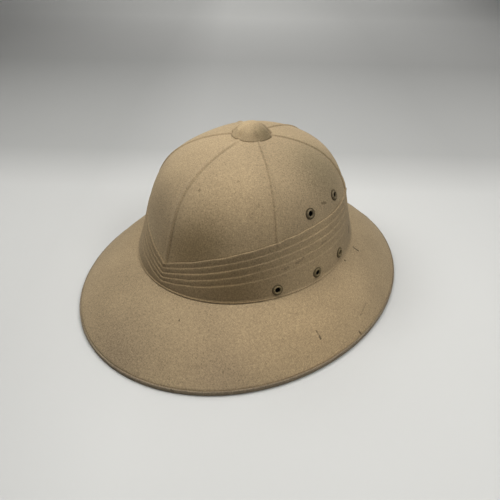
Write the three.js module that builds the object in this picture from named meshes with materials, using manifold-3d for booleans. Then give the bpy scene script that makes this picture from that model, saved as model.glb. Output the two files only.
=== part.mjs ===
// A pith helmet: a pressed shell covered in tan cloth, with a folded band round the foot
// of the crown, a bound brim edge, a lobed button on top and eyelets for air.
// Millimetres, +Z up. The origin is on the floor, at the middle of the brim's outline.
// The front, where the folds of the band dip to a point, faces -Y.

import * as THREE from 'three';
import { mergeVertices } from 'three/addons/utils/BufferGeometryUtils.js';
import Module from 'manifold-3d';

const wasm = await Module();
wasm.setup();

// Driving sizes of the brim and the crown
const BRIM_HALF_WIDTH = 137.5;
const BRIM_HALF_LENGTH = 165;
const FOOT_HALF_WIDTH = 92.2;
const FOOT_HALF_LENGTH = 107.4;
const FOOT_CENTRE_Y = 3.4;
const FOOT_HEIGHT = 41;
const CROWN_RISE = 94.7;
const APEX_Y = 8.7;
const WALL = 2.5;
const GAP = 0.3;

// Outline of the crown seen from the side and from the front: at each rise, a share of
// CROWN_RISE, the shares of the foot's radius that the crown has left.
const CROWN_PROFILE = [
  { rise: 1, frontBack: 0, side: 0 },
  { rise: 0.952, frontBack: 0.374, side: 0.406 },
  { rise: 0.798, frontBack: 0.669, side: 0.694 },
  { rise: 0.538, frontBack: 0.829, side: 0.864 },
  { rise: 0.26, frontBack: 0.91, side: 0.941 },
  { rise: 0, frontBack: 1, side: 1 },
];

// The brim falls from the crown's foot and steepens towards its edge.
const BRIM_LEVEL_SHARE = 0.65;
const BRIM_END_HEIGHT = 4.3;
const BRIM_END_THICKNESS = 3;

// Six panel seams, as plan angles from the front, on each side of the helmet
const SEAM_ANGLES = [0, 52.7, 124.6, 180, 235.4, 307.3];
const SEAM_HEIGHT = 0.55;
const SEAM_HALF_WIDTH_FOOT = 2.1;
const SEAM_HALF_WIDTH_TOP = 1.2;
const SEAM_STEP = 0.5;
const SEAM_START_RADIUS = 6;
const SEAM_FADE_RADIUS = 15;
const SEAM_GAP_FILL_DEGREES = 7.4;

// Folds of the band from the top one down. Each top edge is low at the front and rises to
// its full height at the sides. inset is how far the shell draws in there, below the
// crown's outline; crest and valley are how far the fold stands off the shell at its top
// edge and just above the next edge.
const BAND_FOLDS = [
  { front: 18.9, side: 48.3, inset: 0.6, crest: 1.5, valley: 1.3 },
  { front: 15, side: 41.6, inset: 1, crest: 2.1, valley: 1.6 },
  { front: 11.6, side: 35.2, inset: 1.4, crest: 2.4, valley: 1.9 },
  { front: 8.2, side: 28.5, inset: 1.8, crest: 2.7, valley: 2.2 },
  { front: 5.2, side: 20.9, inset: 2.2, crest: 3, valley: 2.7 },
];
const FOLD_LEDGE = 0.15;
const FOLD_RISE_EXPONENT = 2.2;
const FOOT_INSET = 2.7;
const BEAD_STAND = 0.6;
const BEAD_TOP = 2.2;
const BEAD_BOTTOM = 0.8;
const BEAD_ROUNDING = 0.4;

// Bound edge of the brim: a strip up the edge with a leg turned in underneath
const BINDING_HEIGHT = 4.1;
const BINDING_THICKNESS = 1;
const BINDING_LEG = 5;

// Button on top of the crown, a little off its middle, and the plain post that holds it
const BUTTON_OFFSET_X = -1.4;
const BUTTON_OFFSET_Y = -1.2;
const BUTTON_RADIUS = 17.4;
const BUTTON_NOTCH = 1.6;
const BUTTON_CREASE = 0.5;
const BUTTON_LOBES = 6;
const BUTTON_SIDES_PER_LOBE = 4;
const BUTTON_PROFILE = [
  { share: 0.35, height: 9 },
  { share: 0.64, height: 6.5 },
  { share: 0.86, height: 3.4 },
  { share: 1, height: 1 },
  { share: 0.96, height: 0.3 },
];
const BUTTON_RISE = 9.9;
const POST_RADIUS = 3;
const POST_HEAD_RADIUS = 9;
const POST_HEAD_THICKNESS = 1.2;
const POST_HEAD_DROP = 0.9;

// Eyelets: how far each lies behind the middle of the brim, and its height over the
// crown's foot
const LOW_EYELETS = [
  { name: 'front', y: -50.9, height: 6.7 },
  { name: 'middle', y: -13.5, height: 8 },
  { name: 'rear', y: 19.9, height: 9.2 },
];
const HIGH_EYELETS = [
  { name: 'front', y: -11.6, height: 57.8 },
  { name: 'rear', y: 23, height: 59 },
];
const EYELET_FLANGE_RADIUS = 4.5;
const EYELET_CREST_RADIUS = 3.4;
const EYELET_CREST_HEIGHT = 1.5;
const EYELET_MOUTH_HEIGHT = 1.2;
const EYELET_BARREL_RADIUS = 2.6;
const EYELET_BORE_RADIUS = 2;
const EYELET_LIP_RADIUS = 3.7;
const EYELET_LIP_THICKNESS = 0.7;
const EYELET_FLANGE_CLEARANCE = 0.5;
const EYELET_LIP_CLEARANCE = 0.9;
const EYELET_SIDES = 10;
const HOLE_TOOL_LENGTH = 24;

// Colours and finishes
const CLOTH_COLOR = 0xa58d63;
const BAND_COLOR = 0x9a8259;
const BINDING_COLOR = 0x8f7850;
const PAINTED_EYELET_COLOR = 0x6b6148;
const METAL_EYELET_COLOR = 0x8d8672;
const POST_COLOR = 0x9a9a98;

const radians = THREE.MathUtils.degToRad;
const mix = THREE.MathUtils.lerp;

// A smooth curve through a column of a table that never overshoots between its rows
function smoothColumn(places, values) {
  const count = places.length;
  const slopes = [];
  for (let i = 0; i < count - 1; i++) {
    slopes.push((values[i + 1] - values[i]) / (places[i + 1] - places[i]));
  }
  const tangents = [slopes[0]];
  for (let i = 1; i < count - 1; i++) {
    const sum = slopes[i - 1] + slopes[i];
    const turns = slopes[i - 1] * slopes[i] <= 0;
    tangents.push(turns ? 0 : (2 * slopes[i - 1] * slopes[i]) / sum);
  }
  tangents.push(slopes[count - 2]);
  return (place) => {
    let i = 0;
    while (i < count - 2 && place > places[i + 1]) i++;
    const span = places[i + 1] - places[i];
    const t = THREE.MathUtils.clamp((place - places[i]) / span, 0, 1);
    const stay = (1 + 2 * t) * (1 - t) ** 2;
    const leave = t * (1 - t) ** 2 * span * tangents[i];
    const arrive = t ** 2 * (t - 1) * span * tangents[i + 1];
    return stay * values[i] + leave + (1 - stay) * values[i + 1] + arrive;
  };
}

// Along the crown, reach runs from 0 at the apex to 1 at the foot.
const reachOfRise = (rise) => Math.sqrt(1 - rise);
const reaches = CROWN_PROFILE.map((row) => reachOfRise(row.rise));
const frontBackShare = smoothColumn(reaches, CROWN_PROFILE.map((row) => row.frontBack));
const sideShare = smoothColumn(reaches, CROWN_PROFILE.map((row) => row.side));

// Distance from the axis through the apex to an ellipse, at a plan angle from the front
function ellipseDistance(angle, halfWidth, halfLength, centreY) {
  const sx = Math.sin(angle) / halfWidth;
  const sy = -Math.cos(angle) / halfLength;
  const offset = (APEX_Y - centreY) / halfLength;
  const a = sx * sx + sy * sy;
  const b = sy * offset;
  const c = offset * offset - 1;
  return (-b + Math.sqrt(b * b - a * c)) / a;
}

const footDistance = (angle) => ellipseDistance(angle, FOOT_HALF_WIDTH, FOOT_HALF_LENGTH, FOOT_CENTRE_Y);
const rimDistance = (angle) => ellipseDistance(angle, BRIM_HALF_WIDTH, BRIM_HALF_LENGTH, 0);

// Every section through the apex axis is drawn as { distance, height } in its own plane.
function crownPlain(angle, reach) {
  const side = Math.sin(angle) ** 2;
  const share = mix(frontBackShare(reach), sideShare(reach), side);
  const height = FOOT_HEIGHT + CROWN_RISE * (1 - reach * reach);
  return new THREE.Vector2(footDistance(angle) * share, height);
}

function brimPlain(angle, travel) {
  const start = footDistance(angle);
  const end = rimDistance(angle) - BINDING_THICKNESS - GAP;
  const fall = BRIM_LEVEL_SHARE * travel + (1 - BRIM_LEVEL_SHARE) * travel * Math.abs(travel);
  return new THREE.Vector2(mix(start, end, travel), mix(FOOT_HEIGHT, BRIM_END_HEIGHT, fall));
}

// The same curves drawn in by a depth, square to the wall
function drawnIn(curve, angle, place, depth) {
  const step = 0.004;
  const before = curve(angle, Math.max(place - step, 0));
  const after = curve(angle, place + step);
  const along = after.sub(before).normalize();
  const inward = new THREE.Vector2(along.y, -along.x);
  return curve(angle, place).addScaledVector(inward, depth);
}

const crownAt = (angle, reach, depth) => drawnIn(crownPlain, angle, reach, depth);
const brimAt = (angle, travel, depth) => drawnIn(brimPlain, angle, travel, depth);
const reachAtHeight = (height) => reachOfRise(height / CROWN_RISE);

// Height of a fold's top edge over the crown's foot at a plan angle
function foldHeight(fold, angle) {
  const turned = Math.abs(Math.atan2(Math.sin(angle), Math.cos(angle)));
  const share = Math.min(turned / radians(90), 1);
  return mix(fold.side, fold.front, (1 - share) ** FOLD_RISE_EXPONENT);
}

const foldReach = (fold, angle) => reachAtHeight(foldHeight(fold, angle));

// Where the shell's wall, drawn in by a depth, meets the brim's surface carried inwards
function innerCorner(angle, depth, wall) {
  const start = footDistance(angle);
  const end = rimDistance(angle) - BINDING_THICKNESS - GAP;
  const slope = (BRIM_LEVEL_SHARE * (FOOT_HEIGHT - BRIM_END_HEIGHT)) / (end - start);
  const drop = wall * Math.hypot(1, slope);
  return new THREE.Vector2(start - depth, FOOT_HEIGHT + slope * depth - drop);
}

// Plan angles of the columns of points that every shell is drawn on: four at each seam,
// across its raised strip, one more at the front where the folds come to a point, and even
// ones between the seams.
function makeColumns() {
  const columns = [];
  const strip = [
    { across: -1, out: 1, raise: 0 },
    { across: -1, out: 0, raise: 1 },
    { across: 0, out: 0, raise: 1 },
    { across: 1, out: 0, raise: 1 },
    { across: 1, out: 1, raise: 0 },
  ];
  SEAM_ANGLES.forEach((seam, index) => {
    for (const place of strip) {
      if (place.across !== 0 || seam === 0) {
        columns.push({ angle: radians(seam), ...place });
      }
    }
    const next = SEAM_ANGLES[index + 1] ?? 360;
    const steps = Math.round((next - seam) / SEAM_GAP_FILL_DEGREES);
    for (let i = 1; i < steps; i++) {
      columns.push({ angle: radians(mix(seam, next, i / steps)), across: 0, out: 0, raise: 0 });
    }
  });
  return columns;
}

const COLUMNS = makeColumns();

// Angle of a column at a place on the shell: a seam's strip keeps its width in millimetres
// and narrows towards the top.
function columnAngle(column, distance) {
  const top = SEAM_FADE_RADIUS;
  const share = THREE.MathUtils.clamp((distance - top) / (FOOT_HALF_WIDTH - top), 0, 1);
  const half = mix(SEAM_HALF_WIDTH_TOP, SEAM_HALF_WIDTH_FOOT, share) + column.out * SEAM_STEP;
  return column.angle + (column.across * half) / Math.max(distance, top);
}

function toSpace(angle, point) {
  const x = point.x * Math.sin(angle);
  const y = APEX_Y - point.x * Math.cos(angle);
  return [x, y, point.y];
}

// A ring-shaped body: rows of points round the axis, each row joined to the next and the
// last to the first. rowPoint gives the section's point in a row at a column.
function ringBody(rowCount, rowPoint) {
  const positions = [];
  for (let row = 0; row < rowCount; row++) {
    for (const column of COLUMNS) {
      positions.push(...rowPoint(row, column));
    }
  }
  const width = COLUMNS.length;
  const indices = [];
  for (let row = 0; row < rowCount; row++) {
    const below = (row + 1) % rowCount;
    for (let i = 0; i < width; i++) {
      const next = (i + 1) % width;
      const a = row * width + i;
      const b = row * width + next;
      const c = below * width + next;
      const d = below * width + i;
      indices.push(a, d, b, b, d, c);
    }
  }
  const geometry = new THREE.BufferGeometry();
  geometry.setAttribute('position', new THREE.Float32BufferAttribute(positions, 3));
  geometry.setIndex(indices);
  return geometry;
}

// Solids for cutting

function toSolid(geometry) {
  const plain = geometry.clone();
  plain.deleteAttribute('normal');
  plain.deleteAttribute('uv');
  const merged = mergeVertices(plain, 1e-4);
  const vertProperties = new Float32Array(merged.attributes.position.array);
  const triVerts = new Uint32Array(merged.index.array);
  return new wasm.Manifold(new wasm.Mesh({ numProp: 3, vertProperties, triVerts }));
}

function toGeometry(solid) {
  const mesh = solid.getMesh();
  const geometry = new THREE.BufferGeometry();
  geometry.setAttribute('position', new THREE.BufferAttribute(new Float32Array(mesh.vertProperties), 3));
  geometry.setIndex(new THREE.BufferAttribute(new Uint32Array(mesh.triVerts), 1));
  geometry.computeVertexNormals();
  return geometry;
}

// Shell

const CROWN_ROWS = 9;
const FIRST_ROW_SHARE = 0.07;
const LAST_ROW_SHARE = 0.94;
const BRIM_ROWS = 5;
const INNER_CROWN_ROWS = 7;
const INNER_BRIM_TRAVELS = [0.9, 0.57, 0.23];
const POST_HOLE_RADIUS = POST_RADIUS + GAP;
const POST_HOLE_REACH = 0.02;

// The shell's rows, from the post hole over the crown and brim, and back up inside
function shellSections() {
  const topFold = BAND_FOLDS[0];
  const rows = [];
  const hole = (depth) => (angle) => {
    return new THREE.Vector2(POST_HOLE_RADIUS, crownPlain(angle, POST_HOLE_REACH).y - depth);
  };
  rows.push({ seam: 0, point: hole(0) });
  for (let i = 0; i < CROWN_ROWS; i++) {
    const share = mix(FIRST_ROW_SHARE, LAST_ROW_SHARE, i / (CROWN_ROWS - 1));
    const point = (angle, raise) => crownAt(angle, share * foldReach(topFold, angle), -raise);
    rows.push({ seam: 1, point });
  }
  for (const fold of BAND_FOLDS) {
    rows.push({ seam: 0, point: (angle) => crownAt(angle, foldReach(fold, angle), fold.inset) });
  }
  rows.push({ seam: 0, point: (angle) => innerCorner(angle, FOOT_INSET, 0) });
  for (let i = 0; i <= BRIM_ROWS; i++) {
    rows.push({ seam: 0, point: (angle) => brimAt(angle, i / BRIM_ROWS, 0) });
  }
  const endDistance = (angle) => rimDistance(angle) - BINDING_THICKNESS - GAP;
  const endHeight = BINDING_THICKNESS + GAP;
  rows.push({ seam: 0, point: (angle) => new THREE.Vector2(endDistance(angle), endHeight) });
  rows.push({
    seam: 0,
    point: (angle) => new THREE.Vector2(endDistance(angle) - BRIM_END_THICKNESS, endHeight),
  });
  for (const travel of INNER_BRIM_TRAVELS) {
    rows.push({ seam: 0, point: (angle) => brimAt(angle, travel, WALL) });
  }
  rows.push({ seam: 0, point: (angle) => innerCorner(angle, FOOT_INSET + WALL, WALL) });
  const bandReach = (angle) => foldReach(topFold, angle);
  const lowFold = BAND_FOLDS[BAND_FOLDS.length - 1];
  rows.push({ seam: 0, point: (angle) => crownAt(angle, foldReach(lowFold, angle), lowFold.inset + WALL) });
  for (let i = INNER_CROWN_ROWS; i >= 1; i--) {
    const share = i / INNER_CROWN_ROWS;
    const depth = i === INNER_CROWN_ROWS ? topFold.inset + WALL : WALL;
    rows.push({ seam: 0, point: (angle) => crownAt(angle, share * bandReach(angle), depth) });
  }
  rows.push({ seam: 0, point: hole(WALL) });
  return rows;
}

function makeShell() {
  const rows = shellSections();
  return ringBody(rows.length, (row, column) => {
    const { seam, point } = rows[row];
    const plain = point(column.angle, 0);
    const angle = columnAngle(column, plain.x);
    const fade = THREE.MathUtils.smoothstep(plain.x, SEAM_START_RADIUS, SEAM_FADE_RADIUS);
    return toSpace(angle, point(angle, seam * column.raise * fade * SEAM_HEIGHT));
  });
}

// Band: its folds from the top down on the outside, then up the inside

function bandSections() {
  const rows = [];
  BAND_FOLDS.forEach((fold, index) => {
    const next = BAND_FOLDS[index + 1];
    const crest = fold.crest - fold.inset;
    rows.push((angle) => crownAt(angle, foldReach(fold, angle), -crest));
    if (next) {
      const valley = fold.valley - next.inset;
      rows.push((angle) => crownAt(angle, reachAtHeight(foldHeight(next, angle) + FOLD_LEDGE), -valley));
    }
  });
  rows.push((angle) => crownAt(angle, reachAtHeight(BEAD_TOP), 0));
  rows.push((angle) => crownAt(angle, reachAtHeight(BEAD_TOP - BEAD_ROUNDING), -BEAD_STAND));
  rows.push((angle) => crownAt(angle, reachAtHeight(BEAD_BOTTOM), -BEAD_STAND));
  rows.push((angle) => crownAt(angle, reachAtHeight(BEAD_BOTTOM - BEAD_ROUNDING), 0));
  rows.push((angle) => innerCorner(angle, FOOT_INSET - GAP, 0).add(new THREE.Vector2(0, 2 * GAP)));
  for (const fold of [...BAND_FOLDS].reverse()) {
    rows.push((angle) => crownAt(angle, foldReach(fold, angle), fold.inset - GAP));
  }
  return rows;
}

function makeBand() {
  const rows = bandSections();
  return ringBody(rows.length, (row, column) => {
    const plain = rows[row](column.angle);
    const angle = columnAngle(column, plain.x);
    return toSpace(angle, rows[row](angle));
  });
}

// Bound edge of the brim, from the top of its outer face down and back up inside

function makeBinding() {
  const section = [
    [0, BINDING_HEIGHT],
    [0, 0],
    [BINDING_LEG, 0],
    [BINDING_LEG, BINDING_THICKNESS],
    [BINDING_THICKNESS, BINDING_THICKNESS],
    [BINDING_THICKNESS, BINDING_HEIGHT],
  ];
  return ringBody(section.length, (row, column) => {
    const angle = columnAngle(column, FOOT_HALF_WIDTH);
    const [inwards, height] = section[row];
    return toSpace(angle, new THREE.Vector2(rimDistance(angle) - inwards, height));
  });
}

// Button: a puffed dome with six creases that line up with the panel seams

function makeButton() {
  const sides = BUTTON_LOBES * BUTTON_SIDES_PER_LOBE;
  const lowest = BUTTON_PROFILE.length - 1;
  const positions = [0, 0, BUTTON_RISE];
  BUTTON_PROFILE.forEach((level, index) => {
    for (let i = 0; i < sides; i++) {
      const turn = (i / sides) * 2 * Math.PI;
      const crease = Math.abs(Math.cos((turn * BUTTON_LOBES) / 2)) ** 4;
      const radius = level.share * (BUTTON_RADIUS - BUTTON_NOTCH * crease);
      const sink = index < lowest ? BUTTON_CREASE * crease : 0;
      positions.push(radius * Math.sin(turn), -radius * Math.cos(turn), level.height - sink);
    }
  });
  const foot = positions.length / 3;
  positions.push(0, 0, BUTTON_PROFILE[lowest].height);
  const indices = [];
  for (let i = 0; i < sides; i++) {
    const next = (i + 1) % sides;
    indices.push(0, 1 + i, 1 + next);
    for (let level = 0; level < lowest; level++) {
      const row = 1 + level * sides;
      indices.push(row + i, row + sides + i, row + next);
      indices.push(row + next, row + sides + i, row + sides + next);
    }
    const rim = 1 + lowest * sides;
    indices.push(rim + i, foot, rim + next);
  }
  const geometry = new THREE.BufferGeometry();
  geometry.setAttribute('position', new THREE.Float32BufferAttribute(positions, 3));
  geometry.setIndex(indices);
  return geometry;
}

// A turned piece about its own Z axis
function turned(profile, sides) {
  const points = profile.map(([radius, height]) => new THREE.Vector2(radius, height));
  const geometry = new THREE.LatheGeometry(points, sides);
  geometry.rotateX(Math.PI / 2);
  return geometry;
}

// Eyelet: a flange outside, a barrel through the wall and a rolled lip inside

function makeEyelet(depth) {
  const lipTop = -depth - EYELET_LIP_CLEARANCE;
  const lipBottom = lipTop - EYELET_LIP_THICKNESS;
  const profile = [
    [EYELET_BORE_RADIUS, lipBottom],
    [EYELET_LIP_RADIUS - GAP, lipBottom],
    [EYELET_LIP_RADIUS, lipTop],
    [EYELET_BARREL_RADIUS, lipTop],
    [EYELET_BARREL_RADIUS, EYELET_FLANGE_CLEARANCE],
    [EYELET_FLANGE_RADIUS, EYELET_FLANGE_CLEARANCE],
    [EYELET_CREST_RADIUS, EYELET_CREST_HEIGHT],
    [EYELET_BORE_RADIUS, EYELET_MOUTH_HEIGHT],
    [EYELET_BORE_RADIUS, lipBottom],
  ];
  return turned(profile, EYELET_SIDES);
}

// Point on the outside of the crown at a height over its foot, on the right-hand side, and
// the direction square to the wall there
function wallPlace(y, height, stand) {
  const reach = reachAtHeight(height);
  const at = (a, r) => new THREE.Vector3(...toSpace(a, crownAt(a, r, -stand)));
  let angle = radians(90);
  for (let i = 0; i < 30; i++) {
    const error = at(angle, reach).y - y;
    angle -= error / footDistance(angle);
  }
  const step = 0.01;
  const round = at(angle + step, reach).sub(at(angle - step, reach));
  const down = at(angle, reach + step).sub(at(angle, reach - step));
  const normal = new THREE.Vector3().crossVectors(down, round).normalize();
  return { point: at(angle, reach), normal };
}

function eyeletPlaces() {
  const places = [];
  for (const side of [{ name: 'right', sign: 1 }, { name: 'left', sign: -1 }]) {
    for (const row of LOW_EYELETS) {
      const place = wallPlace(row.y, row.height, 0);
      places.push({ name: `eyelet_low_${row.name}_${side.name}`, low: true, sign: side.sign, ...place });
    }
    for (const row of HIGH_EYELETS) {
      const place = wallPlace(row.y, row.height, 0);
      places.push({ name: `eyelet_high_${row.name}_${side.name}`, low: false, sign: side.sign, ...place });
    }
  }
  for (const place of places) {
    place.point.x *= place.sign;
    place.normal.x *= place.sign;
  }
  return places;
}

function cut(solid, places) {
  const radius = EYELET_BARREL_RADIUS + GAP;
  const hole = new THREE.CylinderGeometry(radius, radius, HOLE_TOOL_LENGTH, EYELET_SIDES);
  hole.rotateX(Math.PI / 2);
  let result = solid;
  for (const place of places) {
    const tool = hole.clone();
    tool.applyQuaternion(facing(place.normal));
    tool.translate(...place.point);
    result = result.subtract(toSolid(tool));
  }
  return result;
}

const facing = (normal) => new THREE.Quaternion().setFromUnitVectors(new THREE.Vector3(0, 0, 1), normal);

// The helmet

const helmet = new THREE.Group();

function add(name, geometry, color, roughness, metalness) {
  const material = new THREE.MeshStandardMaterial({ color, roughness, metalness });
  const mesh = new THREE.Mesh(geometry, material);
  mesh.name = name;
  helmet.add(mesh);
  return mesh;
}

const places = eyeletPlaces();
const lowPlaces = places.filter((place) => place.low);
const shell = cut(toSolid(makeShell()), places);
const band = cut(toSolid(makeBand()), lowPlaces);

add('crown_and_brim', toGeometry(shell), CLOTH_COLOR, 0.9, 0);
add('folded_band', toGeometry(band), BAND_COLOR, 0.9, 0);
add('edge_binding', makeBinding(), BINDING_COLOR, 0.9, 0);

const crownTop = FOOT_HEIGHT + CROWN_RISE;
const button = add('top_button', makeButton(), CLOTH_COLOR, 0.9, 0);
button.position.set(BUTTON_OFFSET_X, APEX_Y + BUTTON_OFFSET_Y, crownTop);

const underside = -WALL - GAP - POST_HEAD_DROP;
const postProfile = [
  [0, underside - POST_HEAD_THICKNESS],
  [POST_HEAD_RADIUS, underside - POST_HEAD_THICKNESS],
  [POST_HEAD_RADIUS, underside],
  [POST_RADIUS, underside],
  [POST_RADIUS, 0],
  [0, 0],
];
const post = add('button_post', turned(postProfile, 16), POST_COLOR, 0.45, 0.8);
post.position.set(0, APEX_Y, crownTop);

for (const place of places) {
  const depth = WALL + (place.low ? FOOT_INSET : 0);
  const color = place.low ? PAINTED_EYELET_COLOR : METAL_EYELET_COLOR;
  const eyelet = add(place.name, makeEyelet(depth), color, place.low ? 0.6 : 0.4, place.low ? 0.3 : 0.9);
  eyelet.position.copy(place.point);
  eyelet.quaternion.copy(facing(place.normal));
}

export default helmet;
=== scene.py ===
# %% [markdown]
# # A pith helmet
# The real helmet is a pressed shell with tan cotton cloth bonded over it. A band of five
# folds runs round the foot of the crown, the edge of the brim is bound with tape, a lobed
# button closes the top and metal eyelets let air in. This lesson builds each of those
# pieces as a mesh from a few sizes, and then gives them cloth, paint and metal.
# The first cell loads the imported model, which fixes where everything is.

# %% Load the frame
import math

import bmesh
import bpy
import numpy as np
from mathutils import Matrix, Vector


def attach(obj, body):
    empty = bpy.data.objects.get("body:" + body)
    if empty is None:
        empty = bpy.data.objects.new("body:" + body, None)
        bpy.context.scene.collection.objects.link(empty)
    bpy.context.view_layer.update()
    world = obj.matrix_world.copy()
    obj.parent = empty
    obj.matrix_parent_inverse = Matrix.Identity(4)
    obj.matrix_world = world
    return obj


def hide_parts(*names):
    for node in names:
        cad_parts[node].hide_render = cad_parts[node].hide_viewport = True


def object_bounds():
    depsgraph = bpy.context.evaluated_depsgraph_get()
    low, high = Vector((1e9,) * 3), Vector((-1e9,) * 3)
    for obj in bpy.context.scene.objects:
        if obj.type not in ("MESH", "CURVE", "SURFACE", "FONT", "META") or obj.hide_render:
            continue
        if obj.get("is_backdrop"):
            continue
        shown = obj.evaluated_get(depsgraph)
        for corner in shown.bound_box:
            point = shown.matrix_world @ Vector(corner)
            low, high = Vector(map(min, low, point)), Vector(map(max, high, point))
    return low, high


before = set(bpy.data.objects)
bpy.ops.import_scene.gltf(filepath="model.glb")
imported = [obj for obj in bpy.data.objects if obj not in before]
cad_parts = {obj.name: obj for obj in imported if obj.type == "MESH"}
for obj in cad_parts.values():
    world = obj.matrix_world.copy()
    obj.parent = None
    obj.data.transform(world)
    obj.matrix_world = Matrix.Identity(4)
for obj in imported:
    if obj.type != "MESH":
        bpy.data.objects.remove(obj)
cad_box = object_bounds()
MM = 0.001
print("frame nodes:", sorted(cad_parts))

# %% [markdown]
# ## The camera
# The helmet is seen from its front right side and from above. A camera could be aimed with
# a Track To constraint, but this view is also rolled by about a degree, so the three
# directions of the camera are written out and put into its matrix. The focal length is in
# pixels of a 500 pixel wide image.

# %% Camera
CAMERA_PLACE = Vector((238.4, -276.4, 296.0)) * MM
CAMERA_AZIMUTH = math.radians(40.02)
CAMERA_ELEVATION = math.radians(37.27)
CAMERA_ROLL = math.radians(1.25)
IMAGE_WIDTH = 500
FOCAL_PIXELS = 472.2
SENSOR = 36.0
HALF_PIXEL = 0.5
NEAREST_SEEN = 0.01


def camera_matrix():
    across = Vector((math.cos(CAMERA_AZIMUTH), math.sin(CAMERA_AZIMUTH), 0))
    level = math.cos(CAMERA_ELEVATION)
    back = Vector((
        math.sin(CAMERA_AZIMUTH) * level,
        -math.cos(CAMERA_AZIMUTH) * level,
        math.sin(CAMERA_ELEVATION),
    ))
    up = back.cross(across)
    right = across * math.cos(CAMERA_ROLL) + up * math.sin(CAMERA_ROLL)
    top = up * math.cos(CAMERA_ROLL) - across * math.sin(CAMERA_ROLL)
    turn = Matrix((right, top, back)).transposed().to_4x4()
    return Matrix.Translation(CAMERA_PLACE) @ turn


camera_data = bpy.data.cameras.new("photo_camera")
camera_data.sensor_width = SENSOR
camera_data.lens = FOCAL_PIXELS / IMAGE_WIDTH * SENSOR
camera_data.shift_x = -HALF_PIXEL / IMAGE_WIDTH
camera_data.shift_y = HALF_PIXEL / IMAGE_WIDTH
camera_data.clip_start = NEAREST_SEEN
camera = bpy.data.objects.new("photo_camera", camera_data)
bpy.context.scene.collection.objects.link(camera)
camera.matrix_world = camera_matrix()
bpy.context.scene.camera = camera
print("camera lens in mm:", round(camera_data.lens, 1))

# %% [markdown]
# ## The shape of the shell
# A helmet like this is pressed over a form, so every slice through the middle of the
# crown is one smooth curve: up the crown, in to the apex, and out along the brim. It could
# be sculpted, but the form for a hat is cut from outlines, and so is this one. Two ovals
# give the plan, the brim's edge and the crown's foot, and a short table gives how the
# crown narrows as it rises to its apex, at the front and at the sides. The tables of this
# lesson name their columns first, and a small helper turns each row into a dictionary.

# %% Sizes of the shell
BRIM_HALF_WIDTH = 137.5 * MM
BRIM_HALF_LENGTH = 165.0 * MM
FOOT_HALF_WIDTH = 92.2 * MM
FOOT_HALF_LENGTH = 107.4 * MM
FOOT_CENTRE_Y = 3.4 * MM
FOOT_HEIGHT = 41.0 * MM
CROWN_RISE = 94.7 * MM
APEX_Y = 8.7 * MM
WALL = 2.5 * MM
BRIM_LEVEL_SHARE = 0.65
BRIM_END_HEIGHT = 4.3 * MM
BINDING_THICKNESS = 1.0 * MM
GAP = 0.3 * MM
SAG_DEPTH = 2.0 * MM
SAG_ANGLE = math.radians(-88)
SAG_SPREAD = math.radians(32)
SAG_REACH = 0.36
SAG_REACH_SPREAD = 0.15


def table(columns, *rows):
    """Rows of values, each one a dictionary with the named columns."""
    return [dict(zip(columns.split(), row)) for row in rows]


CROWN_PROFILE = table(
    "rise front_back side",
    (1.0, 0.0, 0.0), (0.952, 0.374, 0.406), (0.798, 0.669, 0.694), (0.538, 0.829, 0.864),
    (0.26, 0.91, 0.941), (0.0, 1.0, 1.0),
)


def smooth_curve(places, values):
    """A cubic curve through the points with no bend at its two ends."""
    places = np.asarray(places, float)
    values = np.asarray(values, float)
    spans = np.diff(places)
    slopes = np.diff(values) / spans
    count = len(places)
    equations = np.eye(count)
    known = np.zeros(count)
    for i in range(1, count - 1):
        equations[i, i - 1:i + 2] = spans[i - 1], 2 * (spans[i - 1] + spans[i]), spans[i]
        known[i] = 6 * (slopes[i] - slopes[i - 1])
    bends = np.linalg.solve(equations, known)

    def curve(place):
        place = np.clip(place, places[0], places[-1])
        i = np.clip(np.searchsorted(places, place) - 1, 0, count - 2)
        left = (places[i + 1] - place) / spans[i]
        right = 1 - left
        bow = (left**3 - left) * bends[i] + (right**3 - right) * bends[i + 1]
        return left * values[i] + right * values[i + 1] + bow * spans[i] ** 2 / 6

    return curve


reaches = [math.sqrt(1 - row["rise"]) for row in CROWN_PROFILE]
front_back_share = smooth_curve(reaches, [row["front_back"] for row in CROWN_PROFILE])
side_share = smooth_curve(reaches, [row["side"] for row in CROWN_PROFILE])
print("rows in the crown's profile:", len(CROWN_PROFILE))

# %% [markdown]
# Every point of the helmet is found in the same way: a plan angle, measured from the front
# and round the axis under the apex, then a distance from that axis and a height. A curve
# gives the last two for any angle. One more helper moves a curve outwards, square to the
# wall, which is how cloth, folds and the inside follow the same shape.

# %% Curves round the helmet
def oval_distance(angle, half_width, half_length, centre_y):
    """How far an oval is from the apex axis at a plan angle measured from the front."""
    across = np.sin(angle) / half_width
    along = -np.cos(angle) / half_length
    offset = (APEX_Y - centre_y) / half_length
    a = across**2 + along**2
    b = along * offset
    return (-b + np.sqrt(b * b - a * (offset**2 - 1))) / a


def foot_distance(angle):
    return oval_distance(angle, FOOT_HALF_WIDTH, FOOT_HALF_LENGTH, FOOT_CENTRE_Y)


def rim_distance(angle):
    return oval_distance(angle, BRIM_HALF_WIDTH, BRIM_HALF_LENGTH, 0)


def half_turn(angle):
    """The same angle between minus and plus half a turn."""
    return (angle + math.pi) % (2 * math.pi) - math.pi


def sag(angle, reach):
    """The left shoulder of this old crown has sunk a little."""
    round_it = np.exp(-((half_turn(angle - SAG_ANGLE) / SAG_SPREAD) ** 2))
    down_it = np.exp(-(((reach - SAG_REACH) / SAG_REACH_SPREAD) ** 2))
    return SAG_DEPTH * round_it * down_it


def crown_curve(angle, reach):
    """Distance from the axis and height. reach is 0 at the apex and 1 at the foot."""
    side = np.sin(angle) ** 2
    share = (1 - side) * front_back_share(reach) + side * side_share(reach)
    height = FOOT_HEIGHT + CROWN_RISE * (1 - reach**2)
    return foot_distance(angle) * share, height - sag(angle, reach)


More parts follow.
